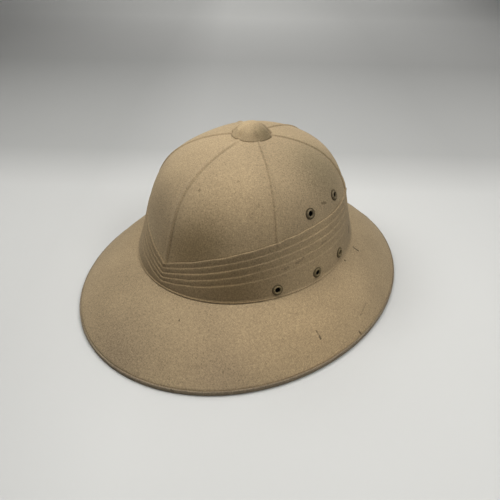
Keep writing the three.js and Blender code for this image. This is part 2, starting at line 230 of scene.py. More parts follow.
def brim_curve(angle, travel):
    """travel is 0 at the crown's foot and 1 at the brim's edge."""
    start = foot_distance(angle)
    end = rim_distance(angle) - BINDING_THICKNESS - GAP
    fall = BRIM_LEVEL_SHARE * travel + (1 - BRIM_LEVEL_SHARE) * travel**2
    height = FOOT_HEIGHT + (BRIM_END_HEIGHT - FOOT_HEIGHT) * fall
    return start + (end - start) * travel, height


def stand_off(curve, angle, place, out, step=0.004):
    """The curve moved outwards, square to the wall, whose slope is measured over a step."""
    place = place + 0 * angle
    before = curve(angle, np.maximum(place - step, 0))
    after = curve(angle, np.minimum(place + step, 1))
    along = np.array(after) - np.array(before)
    along = along / np.hypot(*along)
    distance, height = curve(angle, place)
    return distance - along[1] * out, height + along[0] * out


def reach_at(height):
    """The reach at a height over the crown's foot."""
    return np.sqrt(1 - height / CROWN_RISE)


def to_space(angle, distance, height):
    x = distance * np.sin(angle)
    y = APEX_Y - distance * np.cos(angle)
    return np.stack([x, y, height + 0 * x], axis=-1)


half_width, _ = crown_curve(math.pi / 2, reach_at(CROWN_RISE / 2))
print("crown half width at half its height, in mm:", np.round(half_width / MM, 1))

# %% [markdown]
# ## Columns of points
# Every ring-shaped piece is drawn on the same columns of points, like the staves of a
# barrel. The cloth of the crown is six panels with a lapped seam between each two, and a
# lap is only a few millimetres wide, so the columns crowd together there and spread out
# between. Subdividing everything finely would work too, but would cost far more faces.

# %% Columns
SEAM_ANGLES = np.radians([0, 52.7, 124.6, 180, 235.4, 307.3])
SEAM_SIDE = np.array([0.2, 0.7, 1.3, 2.2, 3.2, 4.5]) * MM
SEAM_OFFSETS = np.concatenate([-SEAM_SIDE[::-1], SEAM_SIDE])
FILL_SPACING = 1.75 * MM
NARROWING_RADIUS = 22 * MM


def make_columns():
    """Each column: its seam or panel, an offset from the seam, or a share of the panel."""
    columns = []
    for seam, angle in enumerate(SEAM_ANGLES):
        following = SEAM_ANGLES[(seam + 1) % len(SEAM_ANGLES)]
        width = (following - angle) % (2 * math.pi)
        for offset in SEAM_OFFSETS:
            columns.append((seam, offset, 0.0))
        middle = angle + width / 2
        arc = width * float(foot_distance(middle)) - SEAM_OFFSETS[-1] + SEAM_OFFSETS[0]
        fills = round(arc / FILL_SPACING)
        for i in range(1, fills):
            columns.append((seam, None, i / fills))
    return columns


COLUMNS = make_columns()
COLUMN_SEAM = np.array([column[0] for column in COLUMNS])
COLUMN_OFFSET = np.array([np.nan if column[1] is None else column[1] for column in COLUMNS])
COLUMN_SHARE = np.array([column[2] for column in COLUMNS])


def column_angles(distance):
    """Plan angle of every column on a ring about this far from the axis."""
    start = SEAM_ANGLES[COLUMN_SEAM]
    width = (np.roll(SEAM_ANGLES, -1)[COLUMN_SEAM] - start) % (2 * math.pi)
    shrink = min(1.0, distance / NARROWING_RADIUS)
    inside = shrink * SEAM_OFFSETS[-1] / distance
    outside = shrink * SEAM_OFFSETS[0] / distance
    on_seam = start + shrink * COLUMN_OFFSET / distance
    between = start + inside + COLUMN_SHARE * (width - inside + outside)
    return np.where(np.isnan(COLUMN_OFFSET), between, on_seam)


print("columns:", len(COLUMNS))

# %% [markdown]
# ## The lapped seams
# Each panel of cloth is folded under along one side and sewn over its neighbour, so a
# section across a seam rises gently on the upper panel, ends in a small rounded edge and
# drops into a thin groove, whose colour is darkened as painted shade. A list says which of
# the two panels is the upper one, and the lap grows a little towards the band. A bump map
# could draw the seams, but this relief is real geometry, so that it also shows on the
# outline and in the mesh.

# %% Seams
LAP_HEIGHT = 0.78 * MM
LAP_SECTION = table(
    "offset height",
    (-4.5, 0.0), (-3.2, 0.05), (-2.2, 0.6), (-1.3, 1.0), (-0.7, 1.02), (-0.2, 0.75),
    (0.2, 0.1), (0.7, -0.4), (1.3, -0.1), (2.2, 0.0), (4.5, 0.0),
)
UPPER_SIDE = [1, -1, -1, -1, -1, 1]
LAP_GROWTH = 0.25
LAP_START = 0.09
LAP_RISE = 0.05
GROOVE_SHADE_GAIN = 1.4


def lap_height(offset, seam):
    """Height of the cloth across a seam, as a share of the lap's thickness."""
    signed = np.nan_to_num(offset) / MM * np.array(UPPER_SIDE)[seam]
    places = [row["offset"] for row in LAP_SECTION]
    heights = [row["height"] for row in LAP_SECTION]
    height = np.interp(signed, places, heights)
    return np.where(np.isnan(offset), 0, height)


SEAM_RELIEF = LAP_HEIGHT * lap_height(COLUMN_OFFSET, COLUMN_SEAM)
# Painted shade: how far the colour darkens in each seam's groove, more where it sinks lower.
SEAM_GROOVE_SHADE = np.clip(-SEAM_RELIEF / SEAM_RELIEF.max() * GROOVE_SHADE_GAIN, 0, 1)
lap_limits = np.array([SEAM_RELIEF.max(), SEAM_RELIEF.min()])
print("highest and lowest point of a lap in mm:", np.round(lap_limits / MM, 2))

# %% [markdown]
# ## Rings of points into a mesh
# A piece that goes round the helmet is a grid of points. Its rows run over the outside and
# come back along the inside, and its last row and column join its first, so the mesh is a
# closed body. One helper builds it from a list of rings. The mesh also gets a map of the
# cloth, in metres, so that a weave drawn by a material runs true along each panel.

# %% Ring mesh helper
PANEL_WIDTHS = (np.roll(SEAM_ANGLES, -1) - SEAM_ANGLES) % (2 * math.pi)
PANEL_MIDDLES = SEAM_ANGLES + PANEL_WIDTHS / 2
BESIDE_SEAM = 0.3


def on(curve, place, out=0.0, lap=0.0, cloth="panel", surface=0):
    """A ring on a curve, at a place along it, standing off it by out."""
    def points(angle, relief):
        at = place(angle) if callable(place) else place
        stand = out(angle) if callable(out) else out
        return stand_off(curve, angle, at, stand + lap * relief)
    return {"points": points, "lap": lap, "cloth": cloth, "surface": surface}


def at_points(points, cloth="panel", surface=0):
    """A ring whose distance and height are given directly."""
    ring = {"points": lambda angle, relief: points(angle), "lap": 0.0}
    return {**ring, "cloth": cloth, "surface": surface}


def link(name, mesh):
    piece = bpy.data.objects.new(name, mesh)
    bpy.context.scene.collection.objects.link(piece)
    return piece


def grid_faces(rows, width, closed_rows=True):
    """Corner numbers of the faces between rows, as row and column numbers."""
    lines = rows if closed_rows else rows - 1
    row, column = np.meshgrid(np.arange(lines), np.arange(width), indexing="ij")
    below = (row + 1) % rows
    following = (column + 1) % width
    corner_rows = np.stack([row, below, below, row], -1).reshape(-1, 4)
    corner_columns = np.stack([column, column, following, following], -1).reshape(-1, 4)
    return corner_rows, corner_columns


def solid_mesh(name, points, corner_rows, corner_columns):
    width = points.shape[1]
    faces = corner_rows * width + corner_columns
    mesh = bpy.data.meshes.new(name)
    mesh.from_pydata(points.reshape(-1, 3).tolist(), [], faces.tolist())
    mesh.polygons.foreach_set("use_smooth", np.ones(len(faces), bool))
    mesh.update()
    return mesh


def cloth_map(mesh, rings, points, angles, distances, corner_rows, corner_columns):
    """Give each corner its place on the cloth: across the panel and down along it."""
    at_corner = corner_rows, corner_columns
    lengths = np.linalg.norm(np.diff(points, axis=0), axis=-1)
    lengths = np.concatenate([np.zeros((1, points.shape[1])), np.cumsum(lengths, axis=0)])
    first = angles[corner_rows[:, :1], corner_columns[:, :1]]
    turn = half_turn(angles[at_corner] - first)
    corners = points[at_corner]
    kinds = np.array([ring["cloth"] for ring in rings])[corner_rows[:, 0]]
    middle = PANEL_MIDDLES[COLUMN_SEAM[corner_columns[:, :1]]]
    panel_across = (half_turn(first - middle) + turn) * distances[at_corner]
    round_across = (half_turn(first) + turn) * foot_distance(angles)[at_corner]
    across = np.where((kinds == "panel")[:, None], panel_across, round_across)
    across = np.where((kinds == "flat")[:, None], corners[..., 0], across)
    down = np.where((kinds == "flat")[:, None], corners[..., 1], lengths[at_corner])
    layer = mesh.uv_layers.new(name="cloth")
    layer.data.foreach_set("uv", np.stack([across, down], -1).reshape(-1))


def ring_piece(name, rings):
    points = []
    angles = []
    distances = []
    for ring in rings:
        about = float(np.mean(ring["points"](SEAM_ANGLES + BESIDE_SEAM, 0.0)[0]))
        turned = column_angles(about)
        distance, height = ring["points"](turned, SEAM_RELIEF)
        points.append(to_space(turned, distance, height))
        angles.append(turned)
        distances.append(distance + 0 * turned)
    points = np.array(points)
    corner_rows, corner_columns = grid_faces(len(rings), len(COLUMNS))
    mesh = solid_mesh(name, points, corner_rows, corner_columns)
    angles = np.array(angles)
    distances = np.array(distances)
    cloth_map(mesh, rings, points, angles, distances, corner_rows, corner_columns)
    surfaces = np.array([ring["surface"] for ring in rings])[corner_rows[:, 0]]
    mesh.polygons.foreach_set("material_index", surfaces)
    laps = np.array([ring["lap"] for ring in rings])
    # Painted shade in the seam grooves: each point's share of it is kept on the mesh.
    soil_and_groove_shade = mesh.attributes.new("seam_groove_shade", "FLOAT", "POINT")
    soil_and_groove_shade.data.foreach_set("value", np.outer(laps, SEAM_GROOVE_SHADE).reshape(-1))
    print(name, "faces:", len(mesh.polygons))
    return link(name, mesh)


# %% [markdown]
# ## The crown and the brim
# The crown and the brim are one pressed shell, 2.5 mm thick, with cloth outside and bare
# pressed fibre inside. Its rings run down the crown, dip under the band, go out along the
# brim, turn round its edge and come back along the inside. The rings follow the top edge
# of the band, which is a V at the front, so no ring cuts across it.

# %% Folds of the band
FOLDS = table(
    "front side drift inset crest valley",
    (18.5, 48.5, -1.0, 0.6, 0.75, 0.25),
    (14.4, 41.6, -1.0, 1.0, 0.85, 0.15),
    (10.7, 35.2, -0.6, 1.4, 0.8, 0.1),
    (7.2, 28.3, -0.3, 1.8, 0.7, 0.0),
    (4.1, 20.6, -0.1, 2.2, 0.65, 0.0),
)
FOLD_RISE_POWER = 2.2
FOLD_WAVE = {"slowest": 4, "fastest": 34, "size": 0.16}
FOLD_SWELL = {"slowest": 6, "fastest": 60, "size": 0.07}
FOLD_WAVE_SEED = 20
FOLD_SWELL_SEED = 40
FOOT_INSET = 2.7 * MM


def waver(seed, slowest, fastest, size):
    """A gentle irregular wave round the helmet, the same each time for the same seed."""
    random = np.random.default_rng(seed)
    beats = np.arange(slowest, fastest + 1)
    sizes = random.normal(size=len(beats)) * size / math.sqrt(len(beats))
    starts = random.uniform(0, 2 * math.pi, len(beats))

    def wave(angle):
        return (sizes * np.sin(np.multiply.outer(angle, beats) + starts)).sum(-1)

    return wave


for number, fold in enumerate(FOLDS):
    fold["wave"] = waver(FOLD_WAVE_SEED + number, **FOLD_WAVE)
    fold["swell"] = waver(FOLD_SWELL_SEED + number, **FOLD_SWELL)


def fold_height(fold, angle):
    """Height of a fold's top edge over the crown's foot."""
    turned = np.abs(half_turn(angle - math.radians(fold["drift"])))
    share = np.minimum(turned / (math.pi / 2), 1)
    low = (1 - share) ** FOLD_RISE_POWER
    height = low * fold["front"] + (1 - low) * fold["side"]
    return (height + fold["wave"](angle)) * MM


def fold_reach(fold, angle, above=0.0):
    return reach_at(fold_height(fold, angle) + above * MM)


front_and_side = fold_height(FOLDS[0], np.array([0, math.pi / 2]))
print("top fold over the crown's foot, in mm:", np.round(front_and_side / MM, 1))

# %% [markdown]
# Now the rings themselves, in the order in which a finger would follow the wall. At the
# foot of the crown the wall is drawn in behind the band, so that the folds lie in the
# shape and not on top of it. The face that faces into the helmet gets its own material.

# %% Shell
CROWN_START = 0.045
CROWN_RINGS = 84
UNDER_BAND = 1.01
BRIM_RINGS = 42
INNER_BRIM_RINGS = 12
INNER_BRIM_TRAVELS = (0.93, 0.02)
BELOW_FOLD_EDGE = -1.0
INNER_CROWN_RINGS = 22
BRIM_END_THICKNESS = 3.0 * MM
BRIM_ROUNDING = 0.5 * MM


def inner_corner(angle, depth, wall):
    """Where the crown's wall, drawn in, meets the brim's surface carried inwards."""
    start = foot_distance(angle)
    end = rim_distance(angle) - BINDING_THICKNESS - GAP
    slope = BRIM_LEVEL_SHARE * (FOOT_HEIGHT - BRIM_END_HEIGHT) / (end - start)
    return start - depth, FOOT_HEIGHT + slope * depth - wall * np.hypot(1, slope)


def brim_end(inwards, height):
    return at_points(
        lambda angle: (rim_distance(angle) - BINDING_THICKNESS - GAP - inwards, height),
        cloth="flat",
    )


def seam_fade(share):
    """The lap dies away under the button."""
    return min(1.0, max(0.0, (share - LAP_START) / LAP_RISE))


def shell_rings():
    top = FOLDS[0]
    rings = []
    for share in np.linspace(CROWN_START, UNDER_BAND, CROWN_RINGS):
        place = lambda angle, share=share: share * fold_reach(top, angle)
        rings.append(on(crown_curve, place, lap=seam_fade(share) * (1 + LAP_GROWTH * share)))
    for fold in FOLDS:
        place = lambda angle, fold=fold: fold_reach(fold, angle, BELOW_FOLD_EDGE)
        rings.append(on(crown_curve, place, out=-fold["inset"] * MM))
    rings.append(at_points(lambda angle: inner_corner(angle, FOOT_INSET, 0)))
    for travel in np.linspace(0, 1, BRIM_RINGS):
        rings.append(on(brim_curve, travel, cloth="flat"))
    bottom = BINDING_THICKNESS + GAP
    rings.append(brim_end(0, bottom + BRIM_ROUNDING))
    rings.append(brim_end(BRIM_ROUNDING, bottom))
    rings.append(brim_end(BRIM_END_THICKNESS, bottom))
    for travel in np.linspace(*INNER_BRIM_TRAVELS, INNER_BRIM_RINGS):
        rings.append(on(brim_curve, travel, out=-WALL, cloth="flat", surface=1))
    rings.append(at_points(lambda angle: inner_corner(angle, FOOT_INSET + WALL, WALL), surface=1))
    low = FOLDS[-1]
    place = lambda angle: fold_reach(low, angle)
    rings.append(on(crown_curve, place, out=-low["inset"] * MM - WALL, surface=1))
    for share in np.linspace(1, CROWN_START, INNER_CROWN_RINGS):
        place = lambda angle, share=share: share * fold_reach(top, angle)
        rings.append(on(crown_curve, place, out=-WALL, surface=1))
    rings[-1]["surface"] = 0
    return rings


shell = ring_piece("cloth_covered_shell", shell_rings())

# %% [markdown]
# ## The folded band
# A long strip of the same cloth is laid in folds round the foot of the crown, and each fold
# overlaps the one above it, so every fold shows a thin upward edge that catches the light.
# Cloth simulation could lay a strip like this, but pressed and stitched folds hardly move,
# so their section is drawn and only wavers a little from place to place. A table says how
# much of each edge still stands, going round: towards the back the lower folds have worn
# flat. The front seam shows faintly through the top fold. A narrow rolled bead finishes
# the band at the brim.

# %% Band
LEDGE_SECTION = table(
    "above share",
    (0.16, 0.0), (0.08, 0.45), (-0.08, 0.82), (-0.35, 1.0), (-0.9, 1.02),
)
FACE_RINGS = 4
FACE_CURVE = 1.3
TOP_FOLD_SINK = -0.25
SEAM_THROUGH_FOLD = [0.9, 0.0, 0.0, 0.0, 0.0]
FADE_ANGLES = np.radians([0, 34, 47, 82, 92, 180])
# One row for each fold, from the top one down, and one column for each of those angles
FADED_SHARES = [
    [1.1, 1.35, 1.15, 1.0, 1.3, 1.2],
    [0.9, 0.8, 0.78, 0.74, 0.55, 0.5],
    [0.95, 0.95, 0.68, 0.62, 0.5, 0.4],
    [0.8, 0.8, 0.36, 0.3, 0.34, 0.34],
    [0.8, 0.75, 0.25, 0.2, 0.2, 0.2],
]
LEFT_FADE_ANGLES = np.radians([-80, -30, -8])
LEFT_FADE_SHARES = [0.5, 0.55, 1.0]
PLAIN_RINGS = 9
BEAD_GROOVE_HEIGHT = 1.35


def fold_share(number, angle):
    """How much of a fold's standing edge is left, going round to the back."""
    turned = half_turn(angle)
    left = np.interp(turned, LEFT_FADE_ANGLES, LEFT_FADE_SHARES)
    return left * np.interp(np.abs(turned), FADE_ANGLES, FADED_SHARES[number])


def fold_stand(number, angle, share):
    fold = FOLDS[number]
    before = FOLDS[number - 1]["valley"] if number else TOP_FOLD_SINK
    crest = before + (fold["crest"] - before) * fold_share(number, angle)
    return (before + (crest - before) * share + fold["swell"](angle) * share) * MM


def face_stand(number, angle, share):
    """Down the face of a fold, from its crest to the valley above the next one."""
    crest = fold_stand(number, angle, LEDGE_SECTION[-1]["share"])
    valley = FOLDS[number]["valley"] * MM
    return crest + (valley - crest) * share**FACE_CURVE


def face_reach(number, angle, share):
    start = fold_height(FOLDS[number], angle) + LEDGE_SECTION[-1]["above"] * MM
    if number + 1 < len(FOLDS):
        end = fold_height(FOLDS[number + 1], angle) + LEDGE_SECTION[0]["above"] * MM
    else:
        end = BEAD_GROOVE_HEIGHT * MM + 0 * angle
    return reach_at(start + (end - start) * share)


def fold_rings(number):
    rings = []
    lap = SEAM_THROUGH_FOLD[number]
    for row in LEDGE_SECTION:
        place = lambda angle, row=row: fold_reach(FOLDS[number], angle, row["above"])
        out = lambda angle, row=row: fold_stand(number, angle, row["share"])
        rings.append(on(crown_curve, place, out=out, lap=lap, cloth="round"))
    count = FACE_RINGS if number + 1 < len(FOLDS) else PLAIN_RINGS
    for share in np.arange(1, count) / count:
        place = lambda angle, share=share: face_reach(number, angle, share)
        out = lambda angle, share=share: face_stand(number, angle, share)
        rings.append(on(crown_curve, place, out=out, lap=lap * (1 - share) ** 2, cloth="round"))
    return rings


print("rings of the folds:", [len(fold_rings(number)) for number in range(len(FOLDS))])

# %% [markdown]
# Below the last fold the band is plain down to a narrow groove, and then the bead turns
# over. A tube along a curve would do for a separate cord, but this one is the band's own
# rolled edge, so its half circle is part of the same section. Going back up behind the
# folds closes the band to a solid strip that keeps a small gap to the shell.

# %% Bead and back of the band
BEAD_OUT = 0.1
BEAD_RADIUS = 0.56
BEAD_FLAT_SHARE = 0.82
BEAD_FLAT_FROM = math.radians(40)
BEAD_FLAT_TO = math.radians(60)
BEAD_TURNS = np.radians([82, 58, 34, 8, -18, -44, -68, -90])
BEAD_GROOVE = -0.12
BAND_GAP = 0.3


def bead_point(angle, turn):
    """A point round the bead, which is flatter at the sides and the back."""
    turned = np.abs(half_turn(angle))
    flat = np.interp(turned, [BEAD_FLAT_FROM, BEAD_FLAT_TO], [1, BEAD_FLAT_SHARE])
    radius = BEAD_RADIUS * flat
    out = (BEAD_OUT + radius * math.cos(turn)) * MM
    return foot_distance(angle) + out, FOOT_HEIGHT + radius * (1 + math.sin(turn)) * MM


def bead_rings():
    groove = reach_at(BEAD_GROOVE_HEIGHT * MM)
    rings = [on(crown_curve, groove, out=BEAD_GROOVE * MM, cloth="round")]
    for turn in BEAD_TURNS:
        rings.append(at_points(lambda angle, turn=turn: bead_point(angle, turn), cloth="round"))
    return rings


def band_inside_rings():
    gap = BAND_GAP * MM

    def corner(angle):
        distance, height = inner_corner(angle, FOOT_INSET - gap, 0)
        return distance, height + 2 * gap

    rings = [at_points(corner, cloth="round")]
    for fold in reversed(FOLDS):
        place = lambda angle, fold=fold: fold_reach(fold, angle, BELOW_FOLD_EDGE)
        rings.append(on(crown_curve, place, out=-fold["inset"] * MM + gap, cloth="round"))
    return rings


band_rings = []
for number in range(len(FOLDS)):
    band_rings += fold_rings(number)
band_rings += bead_rings() + band_inside_rings()
band = ring_piece("folded_cloth_band", band_rings)

# %% [markdown]
# ## The bound edge
# A tape is folded over the edge of the brim: it covers the edge outside and turns in
# underneath. A curve with a bevel profile could make it. The ring helper already follows
# the outline, so the tape is only another section, rounded at its shoulders.

# %% Binding
BINDING_HEIGHT = 4.1
BINDING_WAVE = {"seed": 60, "slowest": 5, "fastest": 70, "size": 0.1}
BINDING_SECTION = table(
    "inwards height",
    (1.22, 4.22), (0.72, 4.2), (0.32, 3.95), (0.1, 3.5), (0.0, 2.9), (-0.05, 2.0),
    (0.02, 1.1), (0.15, 0.5), (0.45, 0.14), (0.9, 0.0), (2.5, 0.0), (4.6, 0.02), (5.0, 0.4),
    (4.7, 0.9), (2.5, 1.0), (1.0, 1.0), (1.0, 2.5),
)


def binding_rings():
    top_wave = waver(**BINDING_WAVE)
    rings = []
    for row in BINDING_SECTION:
        lift = row["height"] / BINDING_HEIGHT

        def points(angle, row=row, lift=lift):
            distance = rim_distance(angle) - row["inwards"] * MM
            return distance, row["height"] * MM + top_wave(angle) * MM * lift

        rings.append(at_points(points, cloth="round"))
    return rings


binding = ring_piece("bound_edge", binding_rings())

# %% [markdown]
# ## The button
# A disc of cloth is gathered over a small core and drawn down by thread along six creases,
# in line with the panel seams. The lobes puff up between the creases. Cloth with pressure
# could swell it, but the creases are easier to place as given, so it is drawn as a dome in
# rings, and the creases pull both its edge and its height in.

# %% Button
BUTTON_MIDDLE = Vector((-1.9, 8.1, 135.7)) * MM
BUTTON_RADIUS = 17.1
BUTTON_NOTCH = 1.7
BUTTON_CREASE = 1.0
BUTTON_CREASE_SHARPNESS = 8
BUTTON_CREASE_GROWTH = 1.7
BUTTON_CREASE_END = 8
BUTTON_EDGE_START = 1.1
BUTTON_WAVE = {"seed": 70, "slowest": 2, "fastest": 12, "size": 0.25}
BUTTON_LOBES = 6
BUTTON_COLUMNS = 144
BUTTON_SECTION = table(
    "share height",
    (0.03, 9.85), (0.1, 9.8), (0.2, 9.55), (0.32, 8.95), (0.45, 8.0), (0.58, 6.8),
    (0.7, 5.4), (0.8, 3.75), (0.88, 2.2), (0.93, 1.2), (0.97, 0.5), (1.0, -0.05),
    (1.01, -0.55), (0.995, -0.95), (0.8, -0.1), (0.6, 0.2), (0.05, 0.2),
)
UPPER_ROWS = 12


def button_mesh():
    turn = np.arange(BUTTON_COLUMNS) / BUTTON_COLUMNS * 2 * math.pi
    nearest = np.abs(half_turn(np.subtract.outer(turn, SEAM_ANGLES))).min(axis=1)
    crease = np.cos(np.minimum(nearest * BUTTON_LOBES / 2, math.pi / 2))
    crease = crease**BUTTON_CREASE_SHARPNESS
    wobble = waver(**BUTTON_WAVE)(turn)
    points = []
    for number, row in enumerate(BUTTON_SECTION):
        share = row["share"]
        edge = min(1.0, share * BUTTON_EDGE_START) ** 2
        radius = share * (BUTTON_RADIUS - BUTTON_NOTCH * crease * edge + wobble * edge)
        fade = share**BUTTON_CREASE_GROWTH * min(1.0, (1.0 - share) * BUTTON_CREASE_END)
        sink = BUTTON_CREASE * crease * fade if number < UPPER_ROWS else 0 * crease
        height = row["height"] - sink
        points.append(np.stack([radius * np.sin(turn), -radius * np.cos(turn), height], -1))
    points = np.array(points) * MM + np.array(BUTTON_MIDDLE)
    corner_rows, corner_columns = grid_faces(len(points), BUTTON_COLUMNS, closed_rows=False)
    mesh = solid_mesh("covered_button", points, corner_rows, corner_columns)
    layer = mesh.uv_layers.new(name="cloth")
    corners = points[corner_rows, corner_columns][..., :2]
    layer.data.foreach_set("uv", corners.reshape(-1))
    return mesh


def close_ends(mesh):
    """Fill the openings at both ends of a turned mesh."""
    tool = bmesh.new()
    tool.from_mesh(mesh)
    edges = [edge for edge in tool.edges if edge.is_boundary]
    filled = bmesh.ops.holes_fill(tool, edges=edges, sides=0)
    for face in filled["faces"]:
        face.smooth = True
    bmesh.ops.recalc_face_normals(tool, faces=tool.faces)
    tool.to_mesh(mesh)
    tool.free()


button_shape = button_mesh()
close_ends(button_shape)
button = link("covered_button", button_shape)
print("button faces:", len(button.data.polygons))

# %% [markdown]
# ## The eyelets and the rivet
# Each eyelet is a turned metal ring: a flange outside, a barrel through the wall and a
# rolled lip inside. The six low ones are painted and stand on the band, the four high ones
# are bare metal. A Screw modifier could turn the profile. Here the same grid helper turns
# it, and each of the two meshes is shared by all the eyelets of a kind.

# %% Turned pieces
TURNED_COLUMNS = 48
LOW_WALL = 5.2
HIGH_WALL = 2.5
EYELETS = table(
    "name y height",
    ("low_front", -50.9, 6.7), ("low_middle", -13.5, 8.0), ("low_rear", 19.9, 9.2),
    ("high_front", -11.6, 57.8), ("high_rear", 23.0, 59.0),
)
FLANGE_SECTION = table(
    "radius height ring",
    (4.5, -0.1, 0), (4.55, 0.3, 0), (4.4, 0.62, 0), (4.05, 0.75, 0), (3.75, 0.6, 0),
    (3.62, 0.62, 1), (3.52, 1.0, 1), (3.3, 1.32, 1), (2.95, 1.48, 1), (2.6, 1.4, 1),
    (2.3, 1.15, 1), (2.08, 0.7, 1), (2.0, 0.1, 2),
)
BORE_RADIUS = 2.0
BARREL_RADIUS = 2.55
LIP_RADIUS = 3.7
LIP_CLEARANCE = 0.9
LIP_THICKNESS = 0.7
LIP_ROUNDING = 0.3


def turned_mesh(name, section, columns=TURNED_COLUMNS):
    turn = np.arange(columns) / columns * 2 * math.pi
    points = []
    for row in section:
        radius = row["radius"]
        height = row["height"] + 0 * turn
        points.append(np.stack([radius * np.sin(turn), -radius * np.cos(turn), height], -1))
    points = np.array(points) * MM
    corner_rows, corner_columns = grid_faces(len(points), columns)
    mesh = solid_mesh(name, points, corner_rows, corner_columns)
    surfaces = np.array([row["ring"] for row in section])[corner_rows[:, 0]]
    mesh.polygons.foreach_set("material_index", surfaces)
    return mesh


def eyelet_section(wall):
    lip_top = -wall - LIP_CLEARANCE
    lip_bottom = lip_top - LIP_THICKNESS
    rounded = lip_bottom + LIP_ROUNDING
    inside = table(
        "radius height ring",
        (BORE_RADIUS, rounded, 2),
        (BORE_RADIUS + 0.2, lip_bottom, 2),
        (LIP_RADIUS - 0.4, lip_bottom, 2),
        (LIP_RADIUS, rounded, 2),
        (LIP_RADIUS - 0.1, lip_top, 2),
        (BARREL_RADIUS, lip_top, 2),
        (BARREL_RADIUS, FLANGE_SECTION[0]["height"], 2),
    )
    return FLANGE_SECTION + inside


low_eyelet_mesh = turned_mesh("low_eyelet", eyelet_section(LOW_WALL))
high_eyelet_mesh = turned_mesh("high_eyelet", eyelet_section(HIGH_WALL))
print("faces of one eyelet:", len(low_eyelet_mesh.polygons))

# %% [markdown]
# The eyelets sit square to the wall, so each place needs a point on the crown and the
# direction straight out of it. The plan angle that gives the wanted distance along the
# helmet is found by stepping towards it a few times.

# %% Eyelet places
STEPS_TO_PLACE = 30


def wall_point(angle, reach):
    distance, height = crown_curve(angle, reach)
    return Vector(to_space(np.float64(angle), distance, height))


def wall_place(y, height):
    reach = reach_at(height * MM)
    angle = math.pi / 2
    for _ in range(STEPS_TO_PLACE):
        error = wall_point(angle, reach).y - y * MM
        angle -= error / foot_distance(angle)
    step = 0.01
    round_the_wall = wall_point(angle + step, reach) - wall_point(angle - step, reach)
    down_the_wall = wall_point(angle, reach + step) - wall_point(angle, reach - step)
    return wall_point(angle, reach), down_the_wall.cross(round_the_wall).normalized()


def facing(point, outward):
    """The turn and place of something that points straight out of the wall."""
    turn = Vector((0, 0, 1)).rotation_difference(outward)
    return Matrix.Translation(point) @ turn.to_matrix().to_4x4()


def eyelet_places():
    places = {}
    for row in EYELETS:
        point, outward = wall_place(row["y"], row["height"])
        for side, sign in (("right", 1), ("left", -1)):
            mirrored = Vector((sign, 1, 1))
            places[f"{row['name']}_{side}"] = (point * mirrored, outward * mirrored)
    return places


EYELET_PLACES = eyelet_places()
eyelets = {}
for place_name, (point, outward) in EYELET_PLACES.items():
    mesh = low_eyelet_mesh if place_name.startswith("low") else high_eyelet_mesh
    eyelet = link(f"{place_name}_eyelet_ring", mesh)
    eyelet.matrix_world = facing(point, outward)
    eyelets[place_name] = eyelet
print("eyelets:", len(eyelets))

# %% [markdown]
# The button is held by a rivet: a short post through the shell and a washer-like head
# inside. It shows only from underneath. The same turning helper draws it from its section.

# %% Rivet
RIVET_SECTION = table(
    "radius height ring",
    (0.05, -4.9, 0), (4.0, -4.9, 0), (8.4, -4.75, 0), (9.0, -4.4, 0), (9.0, -3.9, 0),
    (8.7, -3.7, 0), (3.0, -3.7, 0), (3.0, 0.0, 0), (0.05, 0.0, 0),
)
rivet = link("button_rivet", turned_mesh("button_rivet", RIVET_SECTION))
rivet.location = (0, APEX_Y, FOOT_HEIGHT + CROWN_RISE)
print("rivet faces:", len(rivet.data.polygons))

# %% [markdown]
# ## The air holes
# An eyelet is only an air hole if the wall behind it is open. A Boolean modifier subtracts
# a short round bar at each place from the shell, and from the band where the eyelet is a
# low one. The result is applied, so the finished mesh really has the holes.

# %% Holes
HOLE_RADIUS = 2.9 * MM
HOLE_DEPTH = 24.0 * MM


def hole_bars(names):
    tool = bmesh.new()
    for place_name in names:
        bmesh.ops.create_cone(
            tool,
            cap_ends=True,
            segments=TURNED_COLUMNS,
            radius1=HOLE_RADIUS,
            radius2=HOLE_RADIUS,
            depth=HOLE_DEPTH,
            matrix=facing(*EYELET_PLACES[place_name]),
        )
    mesh = bpy.data.meshes.new("hole_bars")
    tool.to_mesh(mesh)
    tool.free()
    return link("hole_bars", mesh)


def drill(piece, names):
    bars = hole_bars(names)
    cut = piece.modifiers.new("air_holes", "BOOLEAN")
    cut.operation = "DIFFERENCE"
    cut.solver = "EXACT"
    cut.object = bars
    graph = bpy.context.evaluated_depsgraph_get()
    drilled = bpy.data.meshes.new_from_object(piece.evaluated_get(graph), depsgraph=graph)
    piece.modifiers.clear()
    piece.data = drilled
    bpy.data.objects.remove(bars)
    print(piece.name, "drilled:", len(names), "holes")


drill(shell, list(EYELET_PLACES))
drill(band, [name for name in EYELET_PLACES if name.startswith("low")])

# %% [markdown]
# ## Cloth
# The cover is a tan cotton twill. Close by it has threads and diagonal ribs, and from a
# step away it has a slightly mottled grain, because the dye took unevenly. An image would
# freeze one scale of that. Procedural nodes give all of them: waves along the cloth map
# for the threads, noise for the mottling and a Bump node for the relief. Marks from use
# come later as small masks in object space.

# %% Node helpers
def new_node(material, kind):
    return material.node_tree.nodes.new("ShaderNode" + kind)


def connect(material, source, target):
    material.node_tree.links.new(source, target)


def feed(material, value, socket):
    """Link another node's output to a socket, or set the socket to a plain value."""
    if isinstance(value, bpy.types.NodeSocket):
        connect(material, value, socket)
    else:
        socket.default_value = value


def new_material(name):
    material = bpy.data.materials.new(name)
    material.use_nodes = True
    material.node_tree.nodes.clear()
    output = new_node(material, "OutputMaterial")
    shader = new_node(material, "BsdfPrincipled")
    connect(material, shader.outputs["BSDF"], output.inputs["Surface"])
    return material, shader


def math_node(material, operation, *values, clamp=False):
    node = new_node(material, "Math")
    node.operation = operation
    node.use_clamp = clamp
    for value, socket in zip(values, node.inputs):
        feed(material, value, socket)
    return node.outputs[0]


